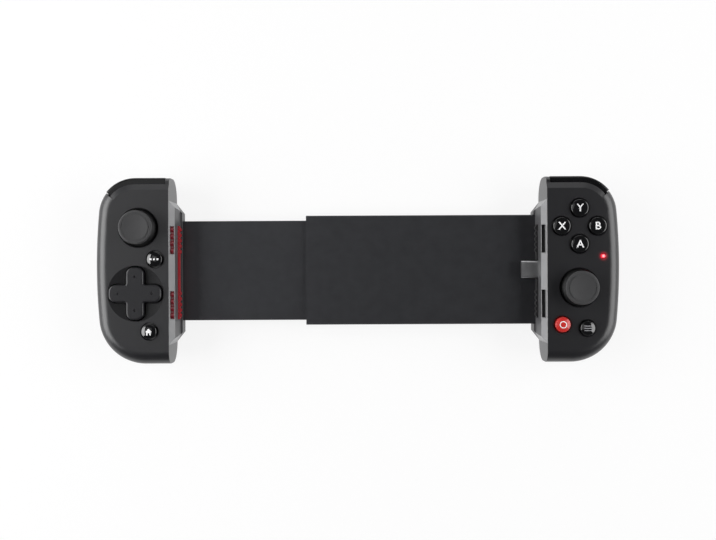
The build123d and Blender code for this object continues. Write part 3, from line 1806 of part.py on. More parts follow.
# Bridge
keep("sleeve_front", sleeve_front())
keep("sleeve_back", sleeve_back())
keep("bridge_tongue", bridge_tongue())
keep("draw_springs", draw_springs())
keep("flex_cable", flex_cable())
keep(
    "sleeve_screws",
    screws(
        rail_screw_places(),
        sleeve_low + bridge_screw_head_height,
        bridge_screw_length,
        bridge_screw_radius,
        bridge_screw_head_radius,
        bridge_screw_head_height,
    ),
)

for label, piece in finished.items():
    piece.label = label
    export_step(piece, f"parts/{label}.step")
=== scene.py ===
"""Dresses a telescopic game controller for a studio picture: keys, prints, finishes and stage."""

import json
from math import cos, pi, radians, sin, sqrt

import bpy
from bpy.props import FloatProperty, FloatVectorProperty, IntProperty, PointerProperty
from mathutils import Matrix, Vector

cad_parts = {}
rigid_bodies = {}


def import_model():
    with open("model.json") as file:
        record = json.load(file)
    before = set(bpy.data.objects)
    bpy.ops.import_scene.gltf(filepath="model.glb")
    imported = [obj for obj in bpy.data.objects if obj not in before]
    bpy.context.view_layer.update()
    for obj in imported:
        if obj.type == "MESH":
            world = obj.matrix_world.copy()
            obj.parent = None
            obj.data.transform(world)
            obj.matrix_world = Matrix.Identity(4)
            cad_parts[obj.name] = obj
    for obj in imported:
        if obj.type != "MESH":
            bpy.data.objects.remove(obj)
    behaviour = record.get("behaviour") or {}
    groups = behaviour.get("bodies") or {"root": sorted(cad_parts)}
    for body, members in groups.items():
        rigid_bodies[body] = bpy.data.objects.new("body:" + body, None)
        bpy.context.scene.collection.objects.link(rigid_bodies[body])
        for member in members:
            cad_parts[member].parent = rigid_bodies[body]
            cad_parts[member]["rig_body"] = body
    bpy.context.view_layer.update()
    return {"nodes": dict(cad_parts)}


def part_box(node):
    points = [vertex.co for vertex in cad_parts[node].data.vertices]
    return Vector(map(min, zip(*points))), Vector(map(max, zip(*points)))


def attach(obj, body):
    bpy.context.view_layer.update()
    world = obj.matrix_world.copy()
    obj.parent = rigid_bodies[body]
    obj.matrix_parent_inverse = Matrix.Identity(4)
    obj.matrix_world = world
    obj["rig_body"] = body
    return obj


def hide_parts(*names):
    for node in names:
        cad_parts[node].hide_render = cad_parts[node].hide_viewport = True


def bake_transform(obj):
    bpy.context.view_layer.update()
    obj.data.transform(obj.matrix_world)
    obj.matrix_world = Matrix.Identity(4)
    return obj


bl_info = {
    "name": "Telescopic Game Controller",
    "version": (1, 0, 0),
    "blender": (4, 5, 0),
    "location": "View3D > Sidebar > Controller",
    "description": "Keys, printed marks, moulded finishes and studio for a two-grip controller",
    "category": "Object",
}

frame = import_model()

MM = 0.001


# What a user would change


def colour(name, words, value):
    """Colour property with its name, its description and its default."""
    return FloatVectorProperty(
        name=name, description=words, default=value, size=3, min=0, max=1, subtype="COLOR"
    )


def length(name, words, millimetres):
    """Length property, given in millimetres and kept in metres."""
    return FloatProperty(
        name=name,
        description=words,
        default=millimetres * MM,
        min=0,
        subtype="DISTANCE",
        precision=5,
    )


def power(name, words, watts):
    """Power property in watts."""
    return FloatProperty(name=name, description=words, default=watts, min=0, unit="POWER")


class ControllerColours(bpy.types.PropertyGroup):
    """Base colours of the controller's finishes."""

    shell: colour("Shell", "Moulded shells of both grips", (0.012, 0.012, 0.0138))
    stop: colour("End stop", "Blocks at the bay ends of the grips", (0.26, 0.26, 0.265))
    # Painted shade: darker colour given to the steep sides of the end stops that look into the bay
    stop_side: colour("End stop side", "Steep sides of the end stops", (0.075, 0.075, 0.078))
    key: colour("Key", "Gloss keys and shoulder bumpers", (0.0035, 0.0035, 0.004))
    pad: colour("Direction pad", "Satin cross of the direction pad", (0.0095, 0.0095, 0.0115))
    cap: colour("Stick cap", "Soft caps of the thumb sticks", (0.04, 0.04, 0.0415))
    # Near black: partly the dark rubber of the dome and stem, partly painted shade on them and on
    # each cap's side wall below its rim
    skirt: colour("Stick skirt", "Dome and stem under each stick cap", (0.005, 0.005, 0.0055))
    red_key: colour("Red key", "The one coloured key", (0.55, 0.028, 0.024))
    insert: colour("Insert", "Bumpy inserts in the left end stop", (0.2, 0.004, 0.014))
    strip: colour("Strip", "Ribbed strip along the left end stop", (0.42, 0.012, 0.02))
    bridge: colour("Bridge", "Anodised sleeve and tongue", (0.075, 0.076, 0.082))
    # Also the colour of the red glow painted on the right shell round the light
    light: colour("Light", "Lit status light", (0.85, 0.02, 0.045))
    light_core: colour("Light core", "Middle of the lit status light", (1.0, 0.66, 0.7))
    mark: colour("Printed mark", "Letters and signs on the keys", (0.93, 0.93, 0.93))
    grey_mark: colour("Grey mark", "Lines on the menu key", (0.27, 0.27, 0.28))


class ControllerMarks(bpy.types.PropertyGroup):
    """Sizes of what is printed on the keys."""

    letter: length("Letter height", "Height of the capital letters", 3.5)
    letter_stroke: length("Letter stroke", "How far the letters' strokes are thickened", 0.075)
    lift: length("Print lift", "How far the print stands on the key", 0.012)
    film: length("Print film", "Thickness of the print", 0.02)
    dot: length("Dot radius", "Radius of the three dots", 0.47)
    dot_pitch: length("Dot pitch", "Distance between the dots", 1.6)
    line: length("Line length", "Length of the three lines", 3.5)
    line_pitch: length("Line pitch", "Distance between the lines", 1.02)
    line_width: length("Line width", "Width of each line", 0.4)
    house: length("House width", "Width of the house sign", 3.3)
    ring: length("Ring radius", "Outer radius of the ring on the red key", 1.7)
    ring_width: length("Ring width", "Width of the ring on the red key", 0.42)


class ControllerKeys(bpy.types.PropertyGroup):
    """Sizes of the keys' rounded rims."""

    rim_round: length("Rim round", "Rounding of each key's top rim", 0.45)
    crown: length("Crown", "Rise of each small key's top over its shoulder", 0.75)
    face_crown: length("Face key crown", "Rise of each lettered key's top over its shoulder", 0.4)
    rise: length("Rise", "Height of the keys' shoulders over the face", 1.3)
    flange: length("Flange thickness", "Thickness of the flange under the face", 0.6)
    segments: IntProperty(
        name="Segments", description="Steps round each turned piece", default=96, min=24
    )


class ControllerStage(bpy.types.PropertyGroup):
    """Camera, lamps and floor."""

    camera_height: length("Camera height", "Height of the camera over the floor", 472)
    lens: FloatProperty(
        name="Lens", description="Focal length for a 36 mm wide image", default=48.8, unit="CAMERA"
    )
    roll: FloatProperty(
        name="Roll",
        description="Turn of the camera about its view",
        default=radians(-0.26),
        subtype="ANGLE",
    )
    floor: length("Floor", "Side of the square floor", 6000)
    left_power: power("Left power", "Power of the lamp at the left", 9.6)
    right_power: power("Right power", "Power of the lamp at the right", 7.0)
    shoulder_power: power("Shoulder power", "Power of the lamp beyond the shoulder keys", 1.2)
    top_power: power("Top power", "Power of the overhead lamp", 0.85)


# Shader maths and finishes


class Signal:
    """A value in a node tree; arithmetic on it adds the Math nodes that work it out."""

    def __init__(self, finish, socket):
        self.finish = finish
        self.socket = socket

    def maths(self, operation, *values):
        """What a Math node makes of some values."""
        made = self.finish.node("ShaderNodeMath", {"operation": operation}, dict(enumerate(values)))
        return Signal(self.finish, made.outputs[0])

    def __add__(self, other):
        return self.maths("ADD", self, other)

    def __radd__(self, other):
        return self.maths("ADD", other, self)

    def __sub__(self, other):
        return self.maths("SUBTRACT", self, other)

    def __rsub__(self, other):
        return self.maths("SUBTRACT", other, self)

    def __mul__(self, other):
        return self.maths("MULTIPLY", self, other)

    def __rmul__(self, other):
        return self.maths("MULTIPLY", other, self)

    def __gt__(self, other):
        return self.maths("GREATER_THAN", self, other)

    def __pow__(self, other):
        return self.maths("POWER", self, other)

    def wave(self):
        """Sine of the value."""
        return self.maths("SINE", self)

    def smooth(self, low, high):
        """Zero below low, one above high and smooth between."""
        made = self.finish.node(
            "ShaderNodeMapRange",
            {"interpolation_type": "SMOOTHSTEP"},
            {"Value": self, "From Min": low, "From Max": high},
        )
        return Signal(self.finish, made.outputs["Result"])


class Finish:
    """One procedural material, its Principled shader and short ways to add nodes."""

    def __init__(self, name):
        self.material = bpy.data.materials.new(f"{name}_finish")
        self.material.use_nodes = True
        self.tree = self.material.node_tree
        self.tree.nodes.clear()
        output = self.tree.nodes.new("ShaderNodeOutputMaterial")
        self.shader = self.tree.nodes.new("ShaderNodeBsdfPrincipled")
        self.tree.links.new(self.shader.outputs["BSDF"], output.inputs["Surface"])
        self.place = self.tree.nodes.new("ShaderNodeTexCoord").outputs["Object"]

    def node(self, kind, settings=None, values=None):
        """Add a node: its settings are set first, then the values or links of its sockets."""
        made = self.tree.nodes.new(kind)
        for name, value in (settings or {}).items():
            setattr(made, name, value)
        for name, value in (values or {}).items():
            self.feed(made.inputs[name], value)
        return made

    def feed(self, socket, value):
        """Link a value to a socket, or write a number or a colour on it."""
        if isinstance(value, Signal):
            self.tree.links.new(value.socket, socket)
        elif isinstance(value, bpy.types.NodeSocket):
            self.tree.links.new(value, socket)
        else:
            socket.default_value = (*value, 1) if socket.type == "RGBA" and len(value) == 3 else value

    def set(self, **values):
        """Write the Principled shader's sockets; an underscore in a name stands for a space."""
        for name, value in values.items():
            self.feed(self.shader.inputs[name.replace("_", " ")], value)
        return self

    def axis(self, letter):
        """One coordinate of the place on the object, in metres."""
        made = self.node("ShaderNodeSeparateXYZ", None, {"Vector": self.place})
        return Signal(self, made.outputs[letter])

    def across(self, middle):
        """Level distance from a point."""
        return ((self.axis("X") - middle.x) ** 2 + (self.axis("Y") - middle.y) ** 2) ** 0.5

    def noise(self, grain, detail=3.0, roughness=0.55, stretch=(1, 1, 1)):
        """Noise whose grain is a length in metres."""
        where = self.node(
            "ShaderNodeVectorMath", {"operation": "MULTIPLY"}, {0: self.place, 1: stretch}
        ).outputs["Vector"]
        made = self.node(
            "ShaderNodeTexNoise",
            None,
            {"Vector": where, "Scale": 1 / grain, "Detail": detail, "Roughness": roughness},
        )
        return Signal(self, made.outputs["Fac"])

    def cells(self, grain):
        """Distance to the nearest of many points that lie about a length apart."""
        made = self.node(
            "ShaderNodeTexVoronoi", {"feature": "F1"}, {"Vector": self.place, "Scale": 1 / grain}
        )
        return Signal(self, made.outputs["Distance"])

    def waves(self, letter, pitch):
        """Sine waves along an axis, a pitch apart."""
        return (self.axis(letter) * (2 * pi / pitch)).wave()

    def blend(self, share, first, second):
        """Colour between two colours."""
        made = self.node("ShaderNodeMix", {"data_type": "RGBA"}, {"Factor": share})
        inputs = [socket for socket in made.inputs if socket.type == "RGBA"]
        self.feed(inputs[0], first)
        self.feed(inputs[1], second)
        return next(socket for socket in made.outputs if socket.type == "RGBA")

    def tint(self, share, base, dark, light):
        """Colour between a dark and a light shade of a base colour."""
        return self.blend(share, shade(base, dark), shade(base, light))

    def bump(self, height, depth, strength):
        """Bump of a height between zero and one whose full depth is a length."""
        made = self.node(
            "ShaderNodeBump", None, {"Strength": strength, "Distance": depth, "Height": height}
        )
        return self.set(Normal=made.outputs["Normal"])


# Grains, depths and spreads of the finishes
CLOUD_GRAIN = 9 * MM
PLASTIC_GRAIN = 0.2 * MM
PLASTIC_DEPTH = 0.014 * MM
PLASTIC_SPREAD = 0.1
SHELL_GRAIN = 0.16 * MM
SHELL_DEPTH = 0.012 * MM
SHELL_ROUGHNESS = 0.33
SHELL_SHINE = 0.7
POLISH_CLOUD_GRAIN = 4 * MM
POLISH_DEPTH = 0.006 * MM
POLISH_SPREAD = 0.03
WEAR_GRAIN = 0.9 * MM
WEAR_SPREAD = 0.1
RUBBER_CLOUD_GRAIN = 6 * MM
RUBBER_GRAIN = 0.3 * MM
RUBBER_DEPTH = 0.02 * MM
RUBBER_SPREAD = 0.08
METAL_GRAIN = 0.25 * MM
METAL_DEPTH = 0.004 * MM
METAL_POLISH = 0.06
METAL_SPREAD = 0.16
TARNISH_GRAIN = 5 * MM
TARNISH_SPREAD = 0.05
INK_GRAIN = 0.12 * MM
INK_DEPTH = 0.003 * MM
INK_SPREAD = 0.2

# Board, flat cable, status light and the red glow painted on the shell round it
LANE_PITCH_ACROSS = 1.1 * MM
LANE_PITCH_ALONG = 2.3 * MM
PAD_PITCH = 2.6 * MM
FIBRE_GRAIN = 0.3 * MM
FIBRE_SPREAD = 0.15
BOARD_DEPTH = 0.02 * MM
COPPER_SHARE = 0.7
FILM_LANE_PITCH = 0.8 * MM
FILM_DUST_GRAIN = 0.6 * MM
FILM_DUST_SPREAD = 0.15
FILM_DEPTH = 0.015 * MM
LIGHT_CORE_RADIUS = 0.15 * MM
LIGHT_RADIUS = 1.0 * MM
LIGHT_HAZE_GRAIN = 0.2 * MM
LIGHT_HAZE_SPREAD = 0.1
# Painted glow on the right shell: where it starts to fade, where it has faded, and how far under the
# light's top it reaches
PAINTED_GLOW_START = 0.7 * MM
PAINTED_GLOW_END = 3.2 * MM
PAINTED_GLOW_DEPTH = 0.8 * MM

# Fixed colours, and how far two finishes are darker than their base: the dish by painted shade, the
# springs in their own darker steel
STEEL = (0.56, 0.56, 0.57)
PLUG_METAL = (0.62, 0.62, 0.63)
BLACK_RUBBER = (0.012, 0.012, 0.013)
GREY_RUBBER = (0.3, 0.31, 0.33)
GREY_PLASTIC = (0.13, 0.13, 0.135)
BOARD_MASK = (0.008, 0.05, 0.02)
MASK_OVER_COPPER = (0.02, 0.11, 0.045)
BARE_PAD = (0.6, 0.45, 0.16)
AMBER_FILM = (0.3, 0.11, 0.02)
FILM_OVER_COPPER = (0.5, 0.22, 0.07)
UNLIT = (0, 0, 0)
DISH_PAINTED_SHADE_SHARE = 0.6
SPRING_SHADE_SHARE = 0.8


def shade(colour_value, share):
    """Colour made lighter or darker by a share."""
    return tuple(min(1.0, channel * share) for channel in colour_value)


def moulded(name, base, roughness, grain=PLASTIC_GRAIN, depth=PLASTIC_DEPTH, shine=0.5):
    """Moulded plastic: faint clouds in the colour and a fine eroded grain."""
    finish = Finish(name)
    clouds = finish.noise(CLOUD_GRAIN, detail=4)
    fine = finish.noise(grain, detail=2, roughness=0.6)
    finish.set(
        Base_Color=finish.tint(clouds, base, dark=0.9, light=1.18),
        Roughness=roughness - PLASTIC_SPREAD / 2 + PLASTIC_SPREAD * fine,
        Specular_IOR_Level=shine,
    )
    return finish.bump(fine, depth, strength=0.6).material


def glossy(name, base, roughness, coat=0.0):
    """Polished plastic with faint handling marks that dull it a little."""
    finish = Finish(name)
    clouds = finish.noise(POLISH_CLOUD_GRAIN, detail=5, roughness=0.6)
    marks = finish.noise(WEAR_GRAIN, detail=3, roughness=0.7, stretch=(1, 0.25, 1))
    finish.set(
        Base_Color=finish.tint(clouds, base, dark=0.85, light=1.25),
        Roughness=(
            roughness + WEAR_SPREAD * marks.smooth(low=0.45, high=0.75) + POLISH_SPREAD * clouds
        ),
        Coat_Weight=coat,
        Coat_Roughness=0.06,
    )
    return finish.bump(clouds, POLISH_DEPTH, strength=0.4).material


def soft(name, base, roughness, grain=RUBBER_GRAIN):
    """Soft-touch rubber: dull, with a velvety edge and a fine pebble."""
    finish = Finish(name)
    clouds = finish.noise(RUBBER_CLOUD_GRAIN, detail=4)
    pebble = finish.cells(grain)
    finish.set(
        Base_Color=finish.tint(clouds, base, dark=0.85, light=1.2),
        Roughness=roughness + RUBBER_SPREAD * clouds,
        Specular_IOR_Level=0.4,
        Sheen_Weight=0.08,
        Sheen_Roughness=0.4,
    )
    return finish.bump(pebble, RUBBER_DEPTH, strength=0.5).material


def metal(name, base, roughness, stretch=(1, 1, 1), grain=METAL_GRAIN):
    """Metal with drawn or blasted grain, running the way that stretch says."""
    finish = Finish(name)
    lines = finish.noise(grain, detail=4, roughness=0.6, stretch=stretch)
    tarnish = finish.noise(TARNISH_GRAIN, detail=4)
    finish.set(
        Base_Color=finish.tint(tarnish, base, dark=0.85, light=1.1),
        Metallic=1.0,
        Roughness=roughness - METAL_POLISH + METAL_SPREAD * lines + TARNISH_SPREAD * tarnish,
    )
    return finish.bump(lines, METAL_DEPTH, strength=0.5).material


def board_finish(name, base, roughness):
    """Board with copper lanes under its mask and a few bare pads."""
    finish = Finish(name)
    lanes = finish.waves("X", LANE_PITCH_ACROSS) + finish.waves("Y", LANE_PITCH_ALONG)
    copper = lanes.smooth(low=0.25, high=0.45)
    fibres = finish.noise(FIBRE_GRAIN, detail=2)
    pads = 1 - finish.cells(PAD_PITCH).smooth(low=0.16, high=0.2)
    mask = finish.blend(copper, base, MASK_OVER_COPPER)
    finish.set(
        Base_Color=finish.blend(pads, mask, BARE_PAD),
        Metallic=pads,
        Roughness=roughness + FIBRE_SPREAD * fibres,
    )
    relief = copper * COPPER_SHARE + fibres * (1 - COPPER_SHARE)
    return finish.bump(relief, BOARD_DEPTH, strength=0.6).material


def flex_finish(name, base, roughness):
    """Tinted film with copper lanes along it."""
    finish = Finish(name)
    lanes = finish.waves("Y", FILM_LANE_PITCH).smooth(low=-0.1, high=0.1)
    dust = finish.noise(FILM_DUST_GRAIN, detail=3)
    finish.set(
        Base_Color=finish.blend(lanes, base, FILM_OVER_COPPER),
        Roughness=roughness + FILM_DUST_SPREAD * dust,
        Coat_Weight=0.4,
    )
    return finish.bump(lanes, FILM_DEPTH, strength=0.5).material


def light_finish(name, base, roughness, heart):
    """Clear red pipe that is lit from below, brightest in its middle."""
    finish = Finish(name)
    low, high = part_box("light_pipe")
    core = 1 - finish.across((low + high) / 2).smooth(LIGHT_CORE_RADIUS, LIGHT_RADIUS)
    haze = finish.noise(LIGHT_HAZE_GRAIN, detail=2)
    finish.set(
        Base_Color=finish.tint(haze, base, dark=0.3, light=0.5),
        Roughness=roughness + LIGHT_HAZE_SPREAD * haze,
        Emission_Color=finish.blend(core, base, heart),
        Emission_Strength=1.0,
    )
    return finish.material


def print_finish(name, base, roughness):
    """Screen-printed ink with a slightly dry surface."""
    finish = Finish(name)
    dots = finish.noise(INK_GRAIN, detail=2)
    finish.set(
        Base_Color=finish.tint(dots, base, dark=0.94, light=1.04),
        Roughness=roughness + INK_SPREAD * dots,
        Coat_Weight=0.6,
    )
    return finish.bump(dots, INK_DEPTH, strength=0.4).material


def painted_shade_and_glow_shell(name, base, glow):
    """Shell finish of the right face with painted shade, a darker tint than the left shell's, and a
    red glow painted round the status light's hole.
    """
    finish = Finish(name)
    low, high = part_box("light_pipe")
    clouds = finish.noise(CLOUD_GRAIN, detail=4)
    fine = finish.noise(SHELL_GRAIN, detail=2, roughness=0.6)
    near = 1 - finish.across((low + high) / 2).smooth(PAINTED_GLOW_START, PAINTED_GLOW_END)
    painted_glow = near * (finish.axis("Z") > high.z - PAINTED_GLOW_DEPTH)
    finish.set(
        # Painted shade: the right shell's colour runs darker than the left one's
        Base_Color=finish.tint(clouds, base, dark=0.8, light=1.05),
        Roughness=SHELL_ROUGHNESS - PLASTIC_SPREAD / 2 + PLASTIC_SPREAD * fine,
        Specular_IOR_Level=SHELL_SHINE,
        # Painted glow: red emission on the shell round the status light's hole, fading outwards
        Emission_Color=finish.blend(painted_glow * painted_glow, UNLIT, glow),
        Emission_Strength=0.4,
    )
    return finish.bump(fine, SHELL_DEPTH, strength=0.6).material


def make_finish(name):
    """Make one of the controller's materials by its name."""
    paint = bpy.context.scene.controller_colours
    eroded = {"grain": SHELL_GRAIN, "depth": SHELL_DEPTH}
    recipes = {
        "shell": (moulded, paint.shell, dict(roughness=SHELL_ROUGHNESS, shine=SHELL_SHINE, **eroded)),
        # Painted shade: the dish round the direction pad is a darker tint of the shell
        "dish": (
            moulded,
            shade(paint.shell, DISH_PAINTED_SHADE_SHARE),
            dict(roughness=0.4, shine=0.3, **eroded),
        ),
        "shell_lit": (painted_shade_and_glow_shell, paint.shell, dict(glow=paint.light)),
        "end_stop": (moulded, paint.stop, dict(roughness=0.4)),
        "stop_side": (moulded, paint.stop_side, dict(roughness=0.45, shine=0.35)),
        "pad": (moulded, paint.pad, dict(roughness=0.36, grain=0.18 * MM, depth=0.006 * MM)),
        "inner_plastic": (moulded, GREY_PLASTIC, dict(roughness=0.5, depth=0.01 * MM)),
        "gloss_black": (glossy, paint.key, dict(roughness=0.16)),
        "clear_cap": (glossy, paint.key, dict(roughness=0.06, coat=1.0)),
        "red_key": (glossy, paint.red_key, dict(roughness=0.22, coat=0.3)),
        "insert_red": (glossy, paint.insert, dict(roughness=0.16, coat=1.0)),
        "strip_red": (glossy, paint.strip, dict(roughness=0.3, coat=0.3)),
        "cap": (soft, paint.cap, dict(roughness=0.55, grain=0.22 * MM)),
        "cap_skirt": (soft, paint.skirt, dict(roughness=0.6)),
        "insert_black": (soft, BLACK_RUBBER, dict(roughness=0.6)),
        "membrane": (soft, GREY_RUBBER, dict(roughness=0.5)),
        "bridge": (metal, paint.bridge, dict(roughness=0.42, stretch=(0.05, 1, 1))),
        "plug": (metal, PLUG_METAL, dict(roughness=0.26, stretch=(0.06, 1, 1))),
        "steel": (metal, STEEL, dict(roughness=0.3, stretch=(1, 1, 0.1))),
        "spring": (metal, shade(STEEL, SPRING_SHADE_SHARE), dict(roughness=0.28, grain=0.4 * MM)),
        "board": (board_finish, BOARD_MASK, dict(roughness=0.3)),
        "flex": (flex_finish, AMBER_FILM, dict(roughness=0.28)),
        "light": (light_finish, paint.light, dict(roughness=0.2, heart=paint.light_core)),
        "mark": (print_finish, paint.mark, dict(roughness=0.4)),
        "grey_mark": (print_finish, paint.grey_mark, dict(roughness=0.4)),
    }
    recipe, base, options = recipes[name]
    return recipe(name, base, **options)


def material_of(name):
    """One of the controller's materials, made at its first use."""
    return bpy.data.materials.get(f"{name}_finish") or make_finish(name)


def dress(piece, name):
    """Give a piece one of the controller's materials."""
    piece.data.materials.clear()
    piece.data.materials.append(material_of(name))
    return piece


# Modelling helpers

JOIN_DISTANCE = 0.001 * MM
CREASE_HEIGHT_SLACK = 0.01 * MM
CREASE_RADIUS_SLACK = 0.03 * MM
EVEN_WEIGHT = 50


def alone(piece):
    """Select one piece and make it the active one."""
    bpy.ops.object.select_all(action="DESELECT")
    piece.select_set(True)
    bpy.context.view_layer.objects.active = piece
    return piece


def edit():
    """Enter edit mode."""
    bpy.ops.object.mode_set(mode="EDIT")


def done():
    """Leave edit mode."""
    bpy.ops.object.mode_set(mode="OBJECT")


def face_out():
    """Turn every face of the piece in edit mode outwards and leave edit mode."""
    bpy.ops.mesh.select_all(action="SELECT")
    bpy.ops.mesh.normals_make_consistent(inside=False)
    done()


def settle(piece):
    """Leave a piece's object at the origin with its place in its mesh."""
    alone(piece)
    bpy.ops.object.transform_apply(location=True, rotation=True, scale=True)
    return piece


def apply_all(piece):
    """Apply a piece's modifiers in their order."""
    alone(piece)
    for modifier in list(piece.modifiers):
        bpy.ops.object.modifier_apply(modifier=modifier.name)
    return piece


def smooth(piece, angle):
    """Shade a piece smooth up to an angle in degrees, with its broad faces left flat."""
    alone(piece)
    bpy.ops.object.shade_smooth_by_angle(angle=radians(angle))
    even = piece.modifiers.new("Even", "WEIGHTED_NORMAL")
    even.mode = "FACE_AREA"
    even.weight = EVEN_WEIGHT
    even.keep_sharp = True
    bpy.ops.object.modifier_apply(modifier=even.name)
    return piece


def crease_circle(piece, centre, radius, height):
    """Mark the edges sharp that lie on a level circle."""
    on_circle = [
        abs(corner.co.z - height) < CREASE_HEIGHT_SLACK
        and abs((corner.co.xy - centre.xy).length - radius) < CREASE_RADIUS_SLACK
        for corner in piece.data.vertices
    ]
    for edge in piece.data.edges:
        if on_circle[edge.vertices[0]] and on_circle[edge.vertices[1]]:
            edge.use_edge_sharp = True


def named(name):
    """Name the active object and its mesh."""
    piece = bpy.context.object
    piece.name = name
    piece.data.name = name
    return piece


def turned(name, centre, profile, segments):
    """Round piece drawn up from a circle: each profile step is a radius and a height."""
    bpy.ops.object.select_all(action="DESELECT")
    x, y = centre[:2]
    radius, height = profile[0]
    bpy.ops.mesh.primitive_circle_add(
        vertices=segments,
        radius=radius,
        fill_type="NGON",
        location=(x, y, height),
        enter_editmode=True,
    )
    for next_radius, next_height in profile[1:]:
        bpy.ops.mesh.extrude_region_move(
            TRANSFORM_OT_translate={"value": (0, 0, next_height - height)}
        )
        share = next_radius / radius
        bpy.ops.transform.resize(value=(share, share, 1), center_override=(x, y, next_height))
        radius, height = next_radius, next_height
    face_out()
    return settle(named(name))


def twin(name, node):
    """Piece made from a CAD node's surface with its loose triangles joined."""
    source = frame["nodes"][node]
    piece = bpy.data.objects.new(name, source.data.copy())
    bpy.context.scene.collection.objects.link(piece)
    piece.data.name = name
    alone(piece)
    edit()
    bpy.ops.mesh.select_all(action="SELECT")
    bpy.ops.mesh.remove_doubles(threshold=JOIN_DISTANCE)
    done()
    bpy.ops.mesh.customdata_custom_splitnormals_clear()
    return piece


# Keys and what is printed on them

# Finish and material slot of each key
KEYS = {
    "button_a": ("clear_cap", "gloss_black"),
    "button_b": ("clear_cap", "gloss_black"),
    "button_x": ("clear_cap", "gloss_black"),
    "button_y": ("clear_cap", "gloss_black"),
    "turbo_button": ("red_key", "red_key"),
    "menu_button": ("clear_cap", "black_key"),
    "options_button": ("clear_cap", "black_key"),
    "home_button": ("clear_cap", "black_key"),
}
FLANGE_WIDTH = 0.8 * MM
STEM_RADIUS = 1.9 * MM
SHELL_WALL = 2.0 * MM
UNDER_GAP = 0.3 * MM
RIM_STEPS = 6
CROWN_STEPS = 12
TIP_RADIUS = 0.02 * MM
KEY_ANGLE = 25

# Prints
PRINT_HEIGHT = 1 * MM
PRINT_STEP = 0.3 * MM
CAPITAL_SHARE = 0.7
LETTER_STEPS = 6
DOT_CORNERS = 32
RING_CORNERS = 48
ROOF_CORNERS = 3
ROOF_RADIUS_SHARE = 0.56
ROOF_HEIGHT_SHARE = 0.12
ROOF_SQUASH_SHARE = 0.62
# Two walls and the lintel: middle across, middle up, width and height over the sign's width
WALL_SHARES = ((0.22, -0.27, 0.24, 0.46), (-0.22, -0.27, 0.24, 0.46), (0, -0.12, 0.4, 0.17))


def key_place(node):
    """Centre, cap radius, reach of the flange, lowest and highest height of a round key."""
    low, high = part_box(node)
    flange = (high.y - low.y) / 2
    outward = 1 if high.x > 0 else -1
    middle_x = (high.x if outward > 0 else low.x) - outward * flange
    inner_reach = abs(middle_x - (low.x if outward > 0 else high.x))
    return (
        Vector((middle_x, (low.y + high.y) / 2, 0)),
        flange - FLANGE_WIDTH,
        inner_reach,
        low.z,
        high.z,
    )


def crown_height(radius, distance, top, crown):
    """Height of a key's domed top at a distance from its middle."""
    sphere = (radius**2 + crown**2) / (2 * crown)
    return top - sphere + sqrt(sphere**2 - distance**2)


def make_key(node):
    """Round key with a stem, a flange, a rounded rim and a domed top."""
    sizes = bpy.context.scene.controller_keys
    centre, radius, reach, low, cad_top = key_place(node)
    shoulder = cad_top - sizes.crown
    under = shoulder - sizes.rise - SHELL_WALL - UNDER_GAP
    rim = sizes.rim_round
    crown = sizes.face_crown if node.startswith("button_") else sizes.crown
    top = shoulder + crown
    flange = max(radius, min(radius + FLANGE_WIDTH, reach))
    profile = [
        (STEM_RADIUS, low),
        (STEM_RADIUS, under - sizes.flange),
        (flange, under - sizes.flange),
        (flange, under),
        (radius, under),
    ]
    inner = radius - rim
    meet = crown_height(radius, inner, top, crown)
    for step in range(RIM_STEPS + 1):
        turn = pi / 2 * step / RIM_STEPS
        profile.append((inner + rim * cos(turn), meet - rim + rim * sin(turn)))
    for step in range(1, CROWN_STEPS):
        distance = inner * (1 - step / CROWN_STEPS)
        profile.append((distance, crown_height(radius, distance, top, crown)))
    profile.append((TIP_RADIUS, top))
    return smooth(turned(f"{node}_cap", centre, profile, sizes.segments), KEY_ANGLE)


def flat_sheet(name, pieces):
    """Join flat pieces into one and name it."""
    bpy.ops.object.select_all(action="DESELECT")
    for piece in pieces:
        piece.select_set(True)
    bpy.context.view_layer.objects.active = pieces[0]
    if len(pieces) > 1:
        bpy.ops.object.join()
    return settle(named(name))


def disc(centre, radius, corners=DOT_CORNERS):
    """Flat round sheet about a point."""
    bpy.ops.object.select_all(action="DESELECT")
    bpy.ops.mesh.primitive_circle_add(
        vertices=corners, radius=radius, fill_type="NGON", location=centre
    )
    return bpy.context.object


def bar(centre, width, height):
    """Flat rectangle about a point."""
    bpy.ops.object.select_all(action="DESELECT")
    bpy.ops.mesh.primitive_plane_add(size=1, location=centre)
    bpy.context.object.scale = (width, height, 1)
    return bpy.context.object


def corners_of(piece):
    """Lowest and highest corner of a piece's box, as its mesh gives them."""
    reaches = list(zip(*piece.bound_box))
    return Vector([min(reach) for reach in reaches]), Vector([max(reach) for reach in reaches])


def letter(text, centre):
    """Flat bold capital letter about a point."""
    marks = bpy.context.scene.controller_marks
    bpy.ops.object.select_all(action="DESELECT")
    bpy.ops.object.text_add(location=centre)
    sign = bpy.context.object
    sign.data.body = text
    sign.data.size = marks.letter / CAPITAL_SHARE
    sign.data.offset = marks.letter_stroke
    sign.data.resolution_u = LETTER_STEPS
    bpy.ops.object.convert(target="MESH")
    sign = settle(bpy.context.object)
    low, high = corners_of(sign)
    sign.location = Vector(centre) - (low + high) / 2
    return settle(sign)


def house(centre):
    """House sign: a roof over two walls, with the door's gap under a lintel between them."""
    width = bpy.context.scene.controller_marks.house
    x, y, z = centre
    roof = disc((x, y + width * ROOF_HEIGHT_SHARE, z), width * ROOF_RADIUS_SHARE, ROOF_CORNERS)
    roof.scale = (1, ROOF_SQUASH_SHARE, 1)
    walls = [
        bar((x + width * across, y + width * up, z), width * wide, width * tall)
        for across, up, wide, tall in WALL_SHARES
    ]
    return [roof, *walls]


